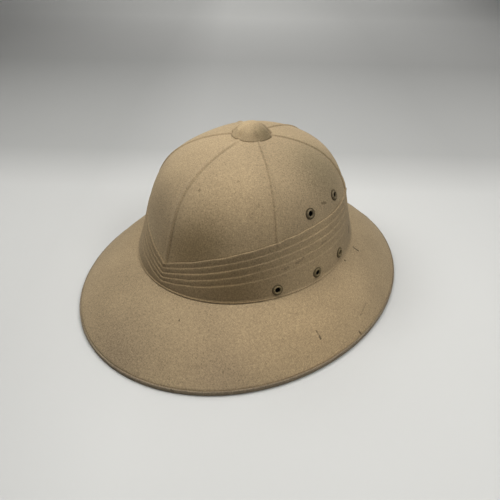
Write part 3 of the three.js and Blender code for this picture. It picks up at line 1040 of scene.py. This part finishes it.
def vector_math(material, operation, *values):
    node = new_node(material, "VectorMath")
    node.operation = operation
    for value, socket in zip(values, node.inputs):
        feed(material, value, socket)
    return node.outputs["Value" if operation in ("DOT_PRODUCT", "LENGTH") else "Vector"]


def open_socket(sockets, name, kinds):
    """The socket of a Mix node that belongs to its chosen type of data."""
    return next(s for s in sockets if s.name == name and s.type in kinds and s.enabled)


def mix_colours(material, amount, first, second, blend="MIX"):
    node = new_node(material, "Mix")
    node.data_type = "RGBA"
    node.blend_type = blend
    feed(material, amount, open_socket(node.inputs, "Factor", ("VALUE",)))
    for name, colour in (("A", first), ("B", second)):
        if not isinstance(colour, bpy.types.NodeSocket):
            colour = (*colour, 1)
        feed(material, colour, open_socket(node.inputs, name, ("RGBA",)))
    return open_socket(node.outputs, "Result", ("RGBA",))


def multiply_colour(material, colour, number):
    """A colour times one number, which reaches all three channels."""
    grey = new_node(material, "CombineColor")
    for channel in ("Red", "Green", "Blue"):
        connect(material, number, grey.inputs[channel])
    return mix_colours(material, 1.0, colour, grey.outputs[0], blend="MULTIPLY")


print("colour helpers ready")

# %% [markdown]
# The patterns need a few more helpers: noise that can be stretched into fibres, a range
# moved to another range, relief from a height, and the two places that a pattern can
# follow. Object space suits soil and fading, which go over the seams, and the cloth map
# suits threads, which don't.

# %% Pattern helpers
def noise(material, place, scale, detail=2.0, roughness=0.5, stretch=None):
    if stretch is not None:
        mapping = new_node(material, "Mapping")
        mapping.inputs["Scale"].default_value = stretch
        connect(material, place, mapping.inputs["Vector"])
        place = mapping.outputs[0]
    node = new_node(material, "TexNoise")
    node.inputs["Scale"].default_value = scale
    node.inputs["Detail"].default_value = detail
    node.inputs["Roughness"].default_value = roughness
    connect(material, place, node.inputs["Vector"])
    return node.outputs["Fac"]


def remap(material, value, *limits):
    """From a lowest and highest value to another lowest and highest one."""
    node = new_node(material, "MapRange")
    for name, limit in zip(("From Min", "From Max", "To Min", "To Max"), limits):
        node.inputs[name].default_value = limit
    connect(material, value, node.inputs["Value"])
    return node.outputs[0]


def bump(material, height, distance, strength=1.0, below=None):
    node = new_node(material, "Bump")
    node.inputs["Distance"].default_value = distance
    node.inputs["Strength"].default_value = strength
    connect(material, height, node.inputs["Height"])
    if below is not None:
        connect(material, below, node.inputs["Normal"])
    return node.outputs[0]


def object_place(material):
    return new_node(material, "TexCoord").outputs["Object"]


def cloth_place(material):
    node = new_node(material, "UVMap")
    node.uv_map = "cloth"
    return node.outputs[0]


print("pattern helpers ready")

# %% [markdown]
# ## Marks from use and painted shading
# An old helmet has small scuffs, dark specks and a few short scratches. Each is a line
# between two points of the surface, with a width and a strength, and the material colours
# what lies close to that line. A speck is a very short line. Broad soft patches paint light
# and shade into the colour: they make parts of the crown, the brim, the button and the band
# lighter or darker as the light falls on them, and the patch on the crown's right shoulder
# also gives the cloth a slight green tinge. Each such patch is a point, a size and a tint
# that dies away softly from the point. The tables are in millimetres. Painting all this by
# hand would need an image, which this lesson avoids.

# %% Marks
# Painted shade for the seam grooves: the dark colour and how strongly it is mixed in.
GROOVE_SHADE_COLOUR = (0.10, 0.075, 0.045)
GROOVE_SHADE_STRENGTH = 0.27
TONES = {
    "dark": (0.045, 0.033, 0.02),
    "soil_and_groove_shade": (0.17, 0.13, 0.08),
    "pale": (0.8, 0.77, 0.68),
}
MARK_COLUMNS = "from to width strength"
PAINTED_SHADING_COLUMNS = "at size tint"
SHELL_MARKS = {
    "dark": table(
        MARK_COLUMNS,
        ((113.1, -44.4, 21.2), (115.0, -44.5, 19.5), 0.7, 0.5),
        ((116.1, -44.6, 18.5), (118.2, -45.2, 16.4), 0.7, 0.6),
        ((133.6, -9.2, 6.9), (135.0, -8.6, 5.4), 0.7, 0.7),
        ((87.8, 49.0, 38.7), (92.4, 51.6, 35.5), 0.5, 0.8),
        ((92.6, 26.2, 39.5), (92.8, 26.6, 39.5), 0.9, 0.7),
        ((33.2, -114.9, 32.9), (33.4, -115.1, 32.8), 0.7, 0.6),
        ((80.9, -117.0, 13.4), (81.1, -117.2, 13.3), 0.7, 0.3),
    ),
    "soil_and_groove_shade": table(
        MARK_COLUMNS,
        ((75.4, 4.0, 101.4), (76.1, 8.3, 99.9), 1.4, 0.9),
        ((9.8, -65.3, 116.8), (10.0, -65.6, 116.6), 1.4, 0.6),
        ((30.1, -44.4, 123.5), (30.3, -44.6, 123.4), 1.2, 0.5),
        ((66.3, 5.1, 113.7), (66.5, 5.3, 113.6), 1.2, 0.5),
        ((51.1, -44.9, 111.8), (50.7, -53.9, 104.6), 1.0, 0.25),
        ((91.8, -53.3, 34.0), (97.2, -48.4, 31.9), 0.9, 0.25),
        ((61.8, -129.9, 15.2), (69.4, -122.9, 16.0), 0.8, 0.25),
        ((124.1, 15.3, 16.1), (127.4, 0.9, 13.5), 0.6, 0.4),
    ),
    "pale": table(
        MARK_COLUMNS,
        ((81.1, 5.5, 89.4), (81.4, 8.6, 89.2), 0.8, 0.15),
        ((82.7, 8.0, 83.1), (82.9, 9.8, 82.9), 0.8, 0.15),
    ),
}
BAND_MARKS = {
    "dark": table(
        MARK_COLUMNS,
        ((78.2, 52.0, 56.0), (80.2, 49.7, 52.6), 2.2, 0.7),
    ),
    "soil_and_groove_shade": table(
        MARK_COLUMNS,
        ((80.9, -31.9, 65.2), (82.4, -25.7, 67.3), 1.4, 0.4),
        ((77.1, -42.2, 63.4), (78.0, -39.7, 64.3), 1.3, 0.45),
        ((85.3, -4.8, 71.0), (85.5, 0.6, 71.7), 1.3, 0.4),
    ),
}
BINDING_MARKS = {
    "dark": table(
        MARK_COLUMNS,
        ((58.4, -149.1, 3.7), (59.7, -148.6, 2.8), 0.8, 0.5),
    ),
}
# Painted light and shade on the crown and brim: lighter where more light falls, darker where less.
# The right shoulder's patch also tinges the cloth slightly green.
SHELL_PAINTED_SHADING = table(
    PAINTED_SHADING_COLUMNS,
    ((36.3, -62.9, 109.2), 48.0, (1.13, 1.12, 1.1)),
    ((58.1, 24.1, 119.7), 48.0, (0.7, 0.72, 0.71)),
    ((34.0, -2.0, 132.0), 42.0, (0.87, 0.87, 0.87)),
    ((-16.8, -75.8, 104.5), 30.0, (0.88, 0.88, 0.88)),
    ((66.0, -45.0, 93.0), 35.0, (1.08, 1.07, 1.05)),
    ((14.0, -90.0, 66.0), 40.0, (0.8, 0.77, 0.7)),
    ((28.0, -82.0, 82.0), 38.0, (0.76, 0.74, 0.68)),
    ((60.0, -68.0, 70.0), 32.0, (1.17, 1.15, 1.12)),
    ((71.4, -109.8, 22.9), 60.0, (1.06, 1.05, 1.05)),
    ((118.0, -45.0, 16.0), 90.0, (1.15, 1.12, 1.08)),
    ((110.8, 25.8, 27.2), 60.0, (1.04, 1.03, 1.02)),
    ((5.0, -156.0, 6.0), 55.0, (0.84, 0.84, 0.86)),
    ((83.0, -122.0, 9.0), 35.0, (0.93, 0.93, 0.95)),
)
# Painted light and shade on the button: its left side lighter, its right lobe darker.
BUTTON_PAINTED_SHADING = table(
    PAINTED_SHADING_COLUMNS,
    ((-9.0, 0.0, 142.0), 22.0, (1.2, 1.2, 1.18)),
    ((13.0, 9.0, 139.0), 18.0, (0.68, 0.69, 0.66)),
)
# Painted shade on the front of the band and painted light on its right side.
BAND_PAINTED_SHADING = table(
    PAINTED_SHADING_COLUMNS,
    ((54.5, -80.1, 48.7), 60.0, (0.68, 0.64, 0.56)),
    ((0.0, -100.0, 47.0), 60.0, (0.8, 0.77, 0.72)),
    ((84.9, -15.0, 58.9), 70.0, (1.2, 1.19, 1.17)),
)
MARK_SOFTNESS = 0.7 * MM
MARK_RAGGEDNESS = 0.9 * MM
GRAIN_LIMITS = (0.3, 0.7)


def line_mask(material, place, row, ragged):
    """One near a line between two points and nothing away from it."""
    start = Vector(row["from"]) * MM
    line = Vector(row["to"]) * MM - start
    away = vector_math(material, "SUBTRACT", place, start)
    along = vector_math(material, "DOT_PRODUCT", away, line / line.length_squared)
    along = math_node(material, "ADD", along, 0.0, clamp=True)
    nearest = new_node(material, "VectorMath")
    nearest.operation = "SCALE"
    nearest.inputs[0].default_value = line
    connect(material, along, nearest.inputs["Scale"])
    from_line = vector_math(material, "SUBTRACT", away, nearest.outputs[0])
    distance = math_node(material, "ADD", vector_math(material, "LENGTH", from_line), ragged)
    edge = row["width"] / 2 * MM
    return remap(material, distance, edge, edge + MARK_SOFTNESS, row["strength"], 0.0)


def marks_mask(material, place, rows, mottle):
    """The strongest of the masks of several marks, with ragged edges."""
    ragged = remap(material, mottle, *GRAIN_LIMITS, -MARK_RAGGEDNESS / 2, MARK_RAGGEDNESS / 2)
    strongest, *others = [line_mask(material, place, row, ragged) for row in rows]
    for mask in others:
        strongest = math_node(material, "MAXIMUM", strongest, mask)
    return strongest


def painted_shading_patch(material, place, row, colour):
    """Paint light and shade onto the cloth round a point, lighter or darker than the rest, with no
    visible edge.
    """
    away = vector_math(material, "SUBTRACT", place, Vector(row["at"]) * MM)
    distance = vector_math(material, "LENGTH", away)
    mask = remap(material, distance, 0.0, row["size"] * MM, 1.0, 0.0)
    mask.node.interpolation_type = "SMOOTHSTEP"
    return mix_colours(material, mask, colour, row["tint"], blend="MULTIPLY")


ALL_MARKS = [*SHELL_MARKS.values(), *BAND_MARKS.values(), *BINDING_MARKS.values()]
print("marks:", sum(len(rows) for rows in ALL_MARKS))

# %% [markdown]
# ## The cloth itself
# All four cloths come from one recipe. Threads and diagonal ribs are waves on the cloth
# map. Slubs, the thicker stretches of single threads, are noise stretched along them.
# Together with fine grain and uneven dye they make one number, which multiplies the
# colour, so that the hue stays that of the cloth. Soft patches of painted light and shade,
# painted shade in the seam grooves and the marks go on top. The weave, the grain and a soft
# unevenness also stand in relief. A faint sheen gives the bloom of raised fibres.

# %% Cloth
THREAD_PITCH = 0.5 * MM
RIB_PITCH = 0.9 * MM
RIBS_TURNED = math.radians(48)
WAVE_SCALE = math.pi / 10
GRAIN_SCALE = 860.0
FINE_GRAIN_SCALE = 1600.0
PATCH_SCALE = 16.0
UNEVEN_DYE = 0.09
WEAVE_SHADE = 0.06
SLUBS = (340.0, 1500.0, 1.0)
CROSS_SLUBS = (1500.0, 340.0, 1.0)
CLOTH_RELIEF = table(
    "distance strength",
    (0.25, 0.35), (0.14, 0.6), (0.07, 0.6),
)
CLOTH_SURFACE = {
    "Roughness": 0.92,
    "Specular IOR Level": 0.25,
    "Sheen Weight": 0.08,
    "Sheen Roughness": 0.5,
    "Sheen Tint": (1.0, 0.93, 0.8, 1),
}


def ribs(material, place, pitch, turned=0.0, distortion=0.6):
    """Ribs of a cloth at a pitch in metres, at an angle on the cloth map."""
    mapping = new_node(material, "Mapping")
    mapping.inputs["Rotation"].default_value = (0, 0, turned)
    connect(material, place, mapping.inputs["Vector"])
    node = new_node(material, "TexWave")
    node.inputs["Scale"].default_value = WAVE_SCALE / pitch
    node.inputs["Distortion"].default_value = distortion
    node.inputs["Detail"].default_value = 1.0
    connect(material, mapping.outputs[0], node.inputs["Vector"])
    return node.outputs["Fac"]


def twill_weave(material, place):
    """Threads both ways under the stronger diagonal ribs."""
    warp = ribs(material, place, THREAD_PITCH)
    weft = ribs(material, place, THREAD_PITCH, turned=math.pi / 2)
    weft = math_node(material, "MULTIPLY", weft, 0.25)
    threads = math_node(material, "MULTIPLY_ADD", warp, 0.25, weft)
    diagonals = ribs(material, place, RIB_PITCH, turned=RIBS_TURNED, distortion=0.8)
    return math_node(material, "MULTIPLY_ADD", diagonals, 0.5, threads)


def cloth_shade(material, on_cloth, in_space, mottle, weave, grain):
    """One number that makes the cloth a little lighter or darker from place to place."""
    shade = remap(material, mottle, *GRAIN_LIMITS, -grain, grain)
    layers = [
        (noise(material, on_cloth, 1.0, stretch=SLUBS), GRAIN_LIMITS, grain / 2),
        (noise(material, on_cloth, 1.0, stretch=CROSS_SLUBS), GRAIN_LIMITS, grain / 2),
        (noise(material, in_space, FINE_GRAIN_SCALE, detail=1.0), GRAIN_LIMITS, grain / 2),
        (weave, (0.0, 1.0), WEAVE_SHADE),
    ]
    for value, limits, depth in layers:
        layer = remap(material, value, *limits, -depth, depth)
        shade = math_node(material, "ADD", shade, layer)
    patches = noise(material, in_space, PATCH_SCALE, detail=3.0, roughness=0.55)
    dye = remap(material, patches, *GRAIN_LIMITS, 1 - UNEVEN_DYE, 1 + UNEVEN_DYE)
    return math_node(material, "ADD", shade, dye)


def cloth_material(name, cloth_colour, marks, painted_shading=(), grain=0.18):
    material, shader = new_material(name)
    on_cloth = cloth_place(material)
    in_space = object_place(material)
    weave = twill_weave(material, on_cloth)
    mottle = noise(material, in_space, GRAIN_SCALE, detail=3.0, roughness=0.6)
    shade = cloth_shade(material, on_cloth, in_space, mottle, weave, grain)
    colour = multiply_colour(material, cloth_colour, shade)
    # Painted light and shade, one soft patch at a time.
    for row in painted_shading:
        colour = painted_shading_patch(material, in_space, row, colour)
    # Painted shade in the seam grooves, read from the mesh.
    seam_groove_shade = new_node(material, "Attribute")
    seam_groove_shade.attribute_name = "seam_groove_shade"
    groove_shaded = math_node(material, "MULTIPLY", seam_groove_shade.outputs["Fac"], GROOVE_SHADE_STRENGTH)
    colour = mix_colours(material, groove_shaded, colour, GROOVE_SHADE_COLOUR)
    for tone, rows in marks.items():
        mask = marks_mask(material, in_space, rows, mottle)
        colour = mix_colours(material, mask, colour, TONES[tone])
    connect(material, colour, shader.inputs["Base Color"])
    relief = None
    heights = (noise(material, in_space, 220.0), mottle, weave)
    for height, row in zip(heights, CLOTH_RELIEF):
        relief = bump(material, height, row["distance"] * MM, row["strength"], below=relief)
    connect(material, relief, shader.inputs["Normal"])
    for socket, value in CLOTH_SURFACE.items():
        shader.inputs[socket].default_value = value
    return material


CLOTH_COLOUR = (0.34, 0.268, 0.172)
BAND_COLOUR = (0.313, 0.245, 0.155)
BINDING_COLOUR = (0.25, 0.205, 0.146)
crown_cloth = cloth_material("tan_twill", CLOTH_COLOUR, SHELL_MARKS, SHELL_PAINTED_SHADING)
button_cloth = cloth_material("button_twill", CLOTH_COLOUR, {}, BUTTON_PAINTED_SHADING, grain=0.12)
band_cloth = cloth_material("band_twill", BAND_COLOUR, BAND_MARKS, BAND_PAINTED_SHADING)
binding_tape = cloth_material("binding_tape", BINDING_COLOUR, BINDING_MARKS)
print("cloths:", [cloth.name for cloth in (crown_cloth, button_cloth, band_cloth, binding_tape)])

# %% [markdown]
# ## Pressed fibre, paint and metal
# Inside, the shell is bare pressed fibre, pale brown and a little rough. The low eyelets
# are painted a dull olive that has worn on the raised ring, and their outer flange is
# darker. The high ones are old bare metal. The bore of every eyelet is coloured nearly
# black, as painted shade inside the hole. The rivet is plain steel.

# %% Hard materials
FIBRE_COLOURS = ((0.24, 0.17, 0.10), (0.42, 0.33, 0.22))
FIBRE_ROUGHNESS = 0.85
METAL_SPECULAR = 0.12
WORN_ROUGHNESS = 0.12
SCRATCHES = (3000.0, 500.0, 900.0)
METALS = table(
    "name dark light metallic roughness",
    # The low eyelets' outer flange, darker than their raised ring.
    ("dark_worn_paint", (0.095, 0.074, 0.043), (0.18, 0.142, 0.085), 0.0, 0.65),
    ("olive_worn_paint", (0.16, 0.125, 0.069), (0.31, 0.25, 0.148), 0.0, 0.6),
    ("dull_metal", (0.06, 0.046, 0.028), (0.15, 0.118, 0.073), 0.0, 0.6),
    ("bright_aged_metal", (0.1, 0.078, 0.045), (0.32, 0.265, 0.175), 0.15, 0.5),
    # Nearly black: painted shade inside each eyelet's bore.
    ("barrel_metal", (0.012, 0.01, 0.008), (0.03, 0.025, 0.02), 0.0, 0.7),
    ("rivet_steel", (0.3, 0.3, 0.29), (0.5, 0.5, 0.48), 0.9, 0.4),
)


def fibre_material():
    material, shader = new_material("pressed_fibre")
    place = object_place(material)
    clumps = noise(material, place, 90.0, detail=4.0, roughness=0.6)
    clumps = math_node(material, "MULTIPLY", clumps, 0.5)
    fibres = noise(material, place, 700.0, detail=3.0, roughness=0.65)
    amount = math_node(material, "MULTIPLY_ADD", fibres, 0.5, clumps)
    colour = mix_colours(material, amount, *FIBRE_COLOURS)
    connect(material, colour, shader.inputs["Base Color"])
    connect(material, bump(material, amount, 0.3 * MM, 0.5), shader.inputs["Normal"])
    shader.inputs["Roughness"].default_value = FIBRE_ROUGHNESS
    return material


def metal_material(row):
    material, shader = new_material(row["name"])
    place = object_place(material)
    tarnish = noise(material, place, 900.0, detail=4.0, roughness=0.7)
    dulled = math_node(material, "MULTIPLY", tarnish, 0.7)
    scratches = noise(material, place, 1.0, stretch=SCRATCHES)
    amount = math_node(material, "MULTIPLY_ADD", scratches, 0.3, dulled)
    amount = remap(material, amount, *GRAIN_LIMITS, 0.0, 1.0)
    colour = mix_colours(material, amount, row["dark"], row["light"])
    connect(material, colour, shader.inputs["Base Color"])
    smooth = row["roughness"]
    roughness = remap(material, amount, 0.0, 1.0, smooth + WORN_ROUGHNESS, smooth)
    connect(material, roughness, shader.inputs["Roughness"])
    connect(material, bump(material, tarnish, 0.05 * MM, 0.4), shader.inputs["Normal"])
    shader.inputs["Metallic"].default_value = row["metallic"]
    shader.inputs["Specular IOR Level"].default_value = METAL_SPECULAR
    return material


pressed_fibre = fibre_material()
metals = {row["name"]: metal_material(row) for row in METALS}
print("metals and paints:", list(metals))

# %% [markdown]
# A mesh keeps a number for the finish of each face. The shell has cloth outside and fibre
# inside, and an eyelet has a flange, a raised ring and a barrel. Here each mesh gets its
# list of finishes in the order of those numbers.

# %% Paint the pieces
FINISHES = [
    (shell.data, [crown_cloth, pressed_fibre]),
    (band.data, [band_cloth]),
    (binding.data, [binding_tape]),
    (button.data, [button_cloth]),
    (rivet.data, [metals["rivet_steel"]]),
    (low_eyelet_mesh, [metals[n] for n in ("dark_worn_paint", "olive_worn_paint", "barrel_metal")]),
    (high_eyelet_mesh, [metals[n] for n in ("dull_metal", "bright_aged_metal", "barrel_metal")]),
]
for mesh, finishes in FINISHES:
    for finish in finishes:
        mesh.materials.append(finish)
print("painted meshes:", len(FINISHES))

# %% [markdown]
# ## The table and the light
# The helmet stands on a plain pale table. The crown's top is bright, its sides darken
# towards the band and the shadow is soft and short, so the light comes from all round and
# above. One large lamp would be simpler, but nine soft panels can be balanced until each
# side has its own brightness. The table's material paints light and shade onto it: it is a
# shade darker behind the helmet and to the left, and lighter to the right and far away. It
# does that along two fixed directions of the table, turned as the first view is, so the
# painted shade stays in its place from any other side.

# %% Floor
FLOOR_SIZE = 6.0
FLOOR_COLOUR = (0.535, 0.533, 0.515)
FLOOR_CLOUDS = 0.985
FLOOR_ROUGHNESS = 0.7
FLOOR_TURN = math.radians(40.02)
FLOOR_BACKWARDS = (-math.sin(FLOOR_TURN), math.cos(FLOOR_TURN), 0)
FLOOR_SIDEWAYS = (math.cos(FLOOR_TURN), math.sin(FLOOR_TURN), 0)
# Painted light and shade on the table: darker behind the helmet and to the left, lighter far away
# and to the right.
FLOOR_NEAR = (0.15, 0.26, 1.0, 0.77)
FLOOR_FAR = (0.7, 1.15, 0.0, 0.42)
FLOOR_LEFT = (-0.2, -0.08, 0.88, 1.0)
FLOOR_RIGHT = (0.3, 0.65, 1.0, 1.25)


def floor_material():
    material, shader = new_material("pale_table")
    place = object_place(material)
    clouds = noise(material, place, 9.0, detail=3.0)
    darker = [FLOOR_CLOUDS * c for c in FLOOR_COLOUR]
    colour = mix_colours(material, clouds, darker, FLOOR_COLOUR)
    # Painted light and shade along the table's two directions.
    backwards = vector_math(material, "DOT_PRODUCT", place, FLOOR_BACKWARDS)
    sideways = vector_math(material, "DOT_PRODUCT", place, FLOOR_SIDEWAYS)
    near = remap(material, backwards, *FLOOR_NEAR)
    shade = math_node(material, "ADD", near, remap(material, backwards, *FLOOR_FAR))
    for side in (FLOOR_LEFT, FLOOR_RIGHT):
        shade = math_node(material, "MULTIPLY", shade, remap(material, sideways, *side))
    connect(material, multiply_colour(material, colour, shade), shader.inputs["Base Color"])
    relief = bump(material, noise(material, place, 300.0), 0.1 * MM, 0.1)
    connect(material, relief, shader.inputs["Normal"])
    shader.inputs["Roughness"].default_value = FLOOR_ROUGHNESS
    return material


half = FLOOR_SIZE / 2
floor_mesh = bpy.data.meshes.new("pale_table")
floor_corners = [(-half, -half, 0), (half, -half, 0), (half, half, 0), (-half, half, 0)]
floor_mesh.from_pydata(floor_corners, [], [(0, 1, 2, 3)])
floor_mesh.materials.append(floor_material())
floor = link("pale_table", floor_mesh)
floor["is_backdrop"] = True
print("floor side in metres:", FLOOR_SIZE)

# %% [markdown]
# The lamps are round panels. Those of the helmet hang round it and point at its middle.
# The two for the far end of the table have a narrow spread and point straight down, so
# they leave the helmet alone. A weak even sky fills what no lamp reaches. The gamma of
# the view, just under one, gives the picture a little more contrast.

# %% Lights
LIGHTS = table(
    "name at size watts spread",
    ("overhead_panel", (0.0, 0.0, 0.85), 0.45, 2.55, 180.0),
    ("left_panel", (-0.421, -0.354, 0.85), 0.45, 4.76, 180.0),
    ("far_left_panel", (-0.775, 0.068, 0.85), 0.45, 1.75, 180.0),
    ("back_panel", (-0.354, 0.421, 0.85), 0.45, 0.88, 180.0),
    ("near_right_panel", (0.775, -0.068, 0.85), 0.45, 4.9, 180.0),
    ("right_panel", (0.421, 0.354, 0.85), 0.45, 1.79, 180.0),
    ("far_right_panel", (0.068, 0.775, 0.85), 0.45, 1.48, 180.0),
    ("rear_panel", (-0.701, 0.835, 0.708), 0.8, 2.0, 180.0),
    ("front_panel", (-0.095, -1.087, 0.708), 0.8, 1.0, 180.0),
    ("far_floor_panel", (-0.9, 1.3, 1.4), 1.6, 1.5, 80.0),
    ("farther_floor_panel", (-1.75, 1.7, 1.2), 2.4, 9.0, 60.0),
)
EVERY_WAY = 180.0
AIMED_AT = Vector((0, 0, 0.06))
VIEW_GAMMA = 0.8
SKY_COLOUR = (0.9, 0.95, 1.0)
SKY_STRENGTH = 0.02

for row in LIGHTS:
    lamp = bpy.data.lights.new(row["name"], "AREA")
    lamp.shape = "DISK"
    lamp.size = row["size"]
    lamp.energy = row["watts"]
    lamp.spread = math.radians(row["spread"])
    lamp_object = bpy.data.objects.new(row["name"], lamp)
    bpy.context.scene.collection.objects.link(lamp_object)
    lamp_object.location = row["at"]
    if row["spread"] == EVERY_WAY:
        aim = AIMED_AT - Vector(row["at"])
        lamp_object.rotation_euler = aim.to_track_quat("-Z", "Y").to_euler()

world = bpy.data.worlds.new("studio_sky")
bpy.context.scene.world = world
world.use_nodes = True
sky = world.node_tree.nodes["Background"]
sky.inputs["Color"].default_value = (*SKY_COLOUR, 1)
sky.inputs["Strength"].default_value = SKY_STRENGTH
bpy.context.scene.view_settings.view_transform = "Standard"
bpy.context.scene.view_settings.gamma = VIEW_GAMMA
print("lights:", len(LIGHTS))

# %% [markdown]
# ## Ride on the frame
# Every piece stands for one of the imported solids and moves with the model's only body.
# The last lines print how far the size of this model is from that of the imported one.

# %% Ride and replace
STANDS_FOR = [
    (shell, "crown_and_brim", "shell_cloth"),
    (band, "folded_band", "band_cloth"),
    (binding, "edge_binding", "binding_cloth"),
    (button, "top_button", "shell_cloth"),
    (rivet, "button_post", "post_metal"),
]
for place_name, eyelet in eyelets.items():
    finish = "painted_eyelet" if place_name.startswith("low") else "metal_eyelet"
    STANDS_FOR.append((eyelet, f"eyelet_{place_name}", finish))

for piece, node, finish in STANDS_FOR:
    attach(piece, "root")
    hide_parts(node)
print("pieces on the frame:", len(STANDS_FOR))

# %% Size
made_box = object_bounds()
difference = np.abs(np.array(cad_box) - np.array(made_box)).max()
print("largest difference in size, in mm:", round(float(difference) / MM, 2))
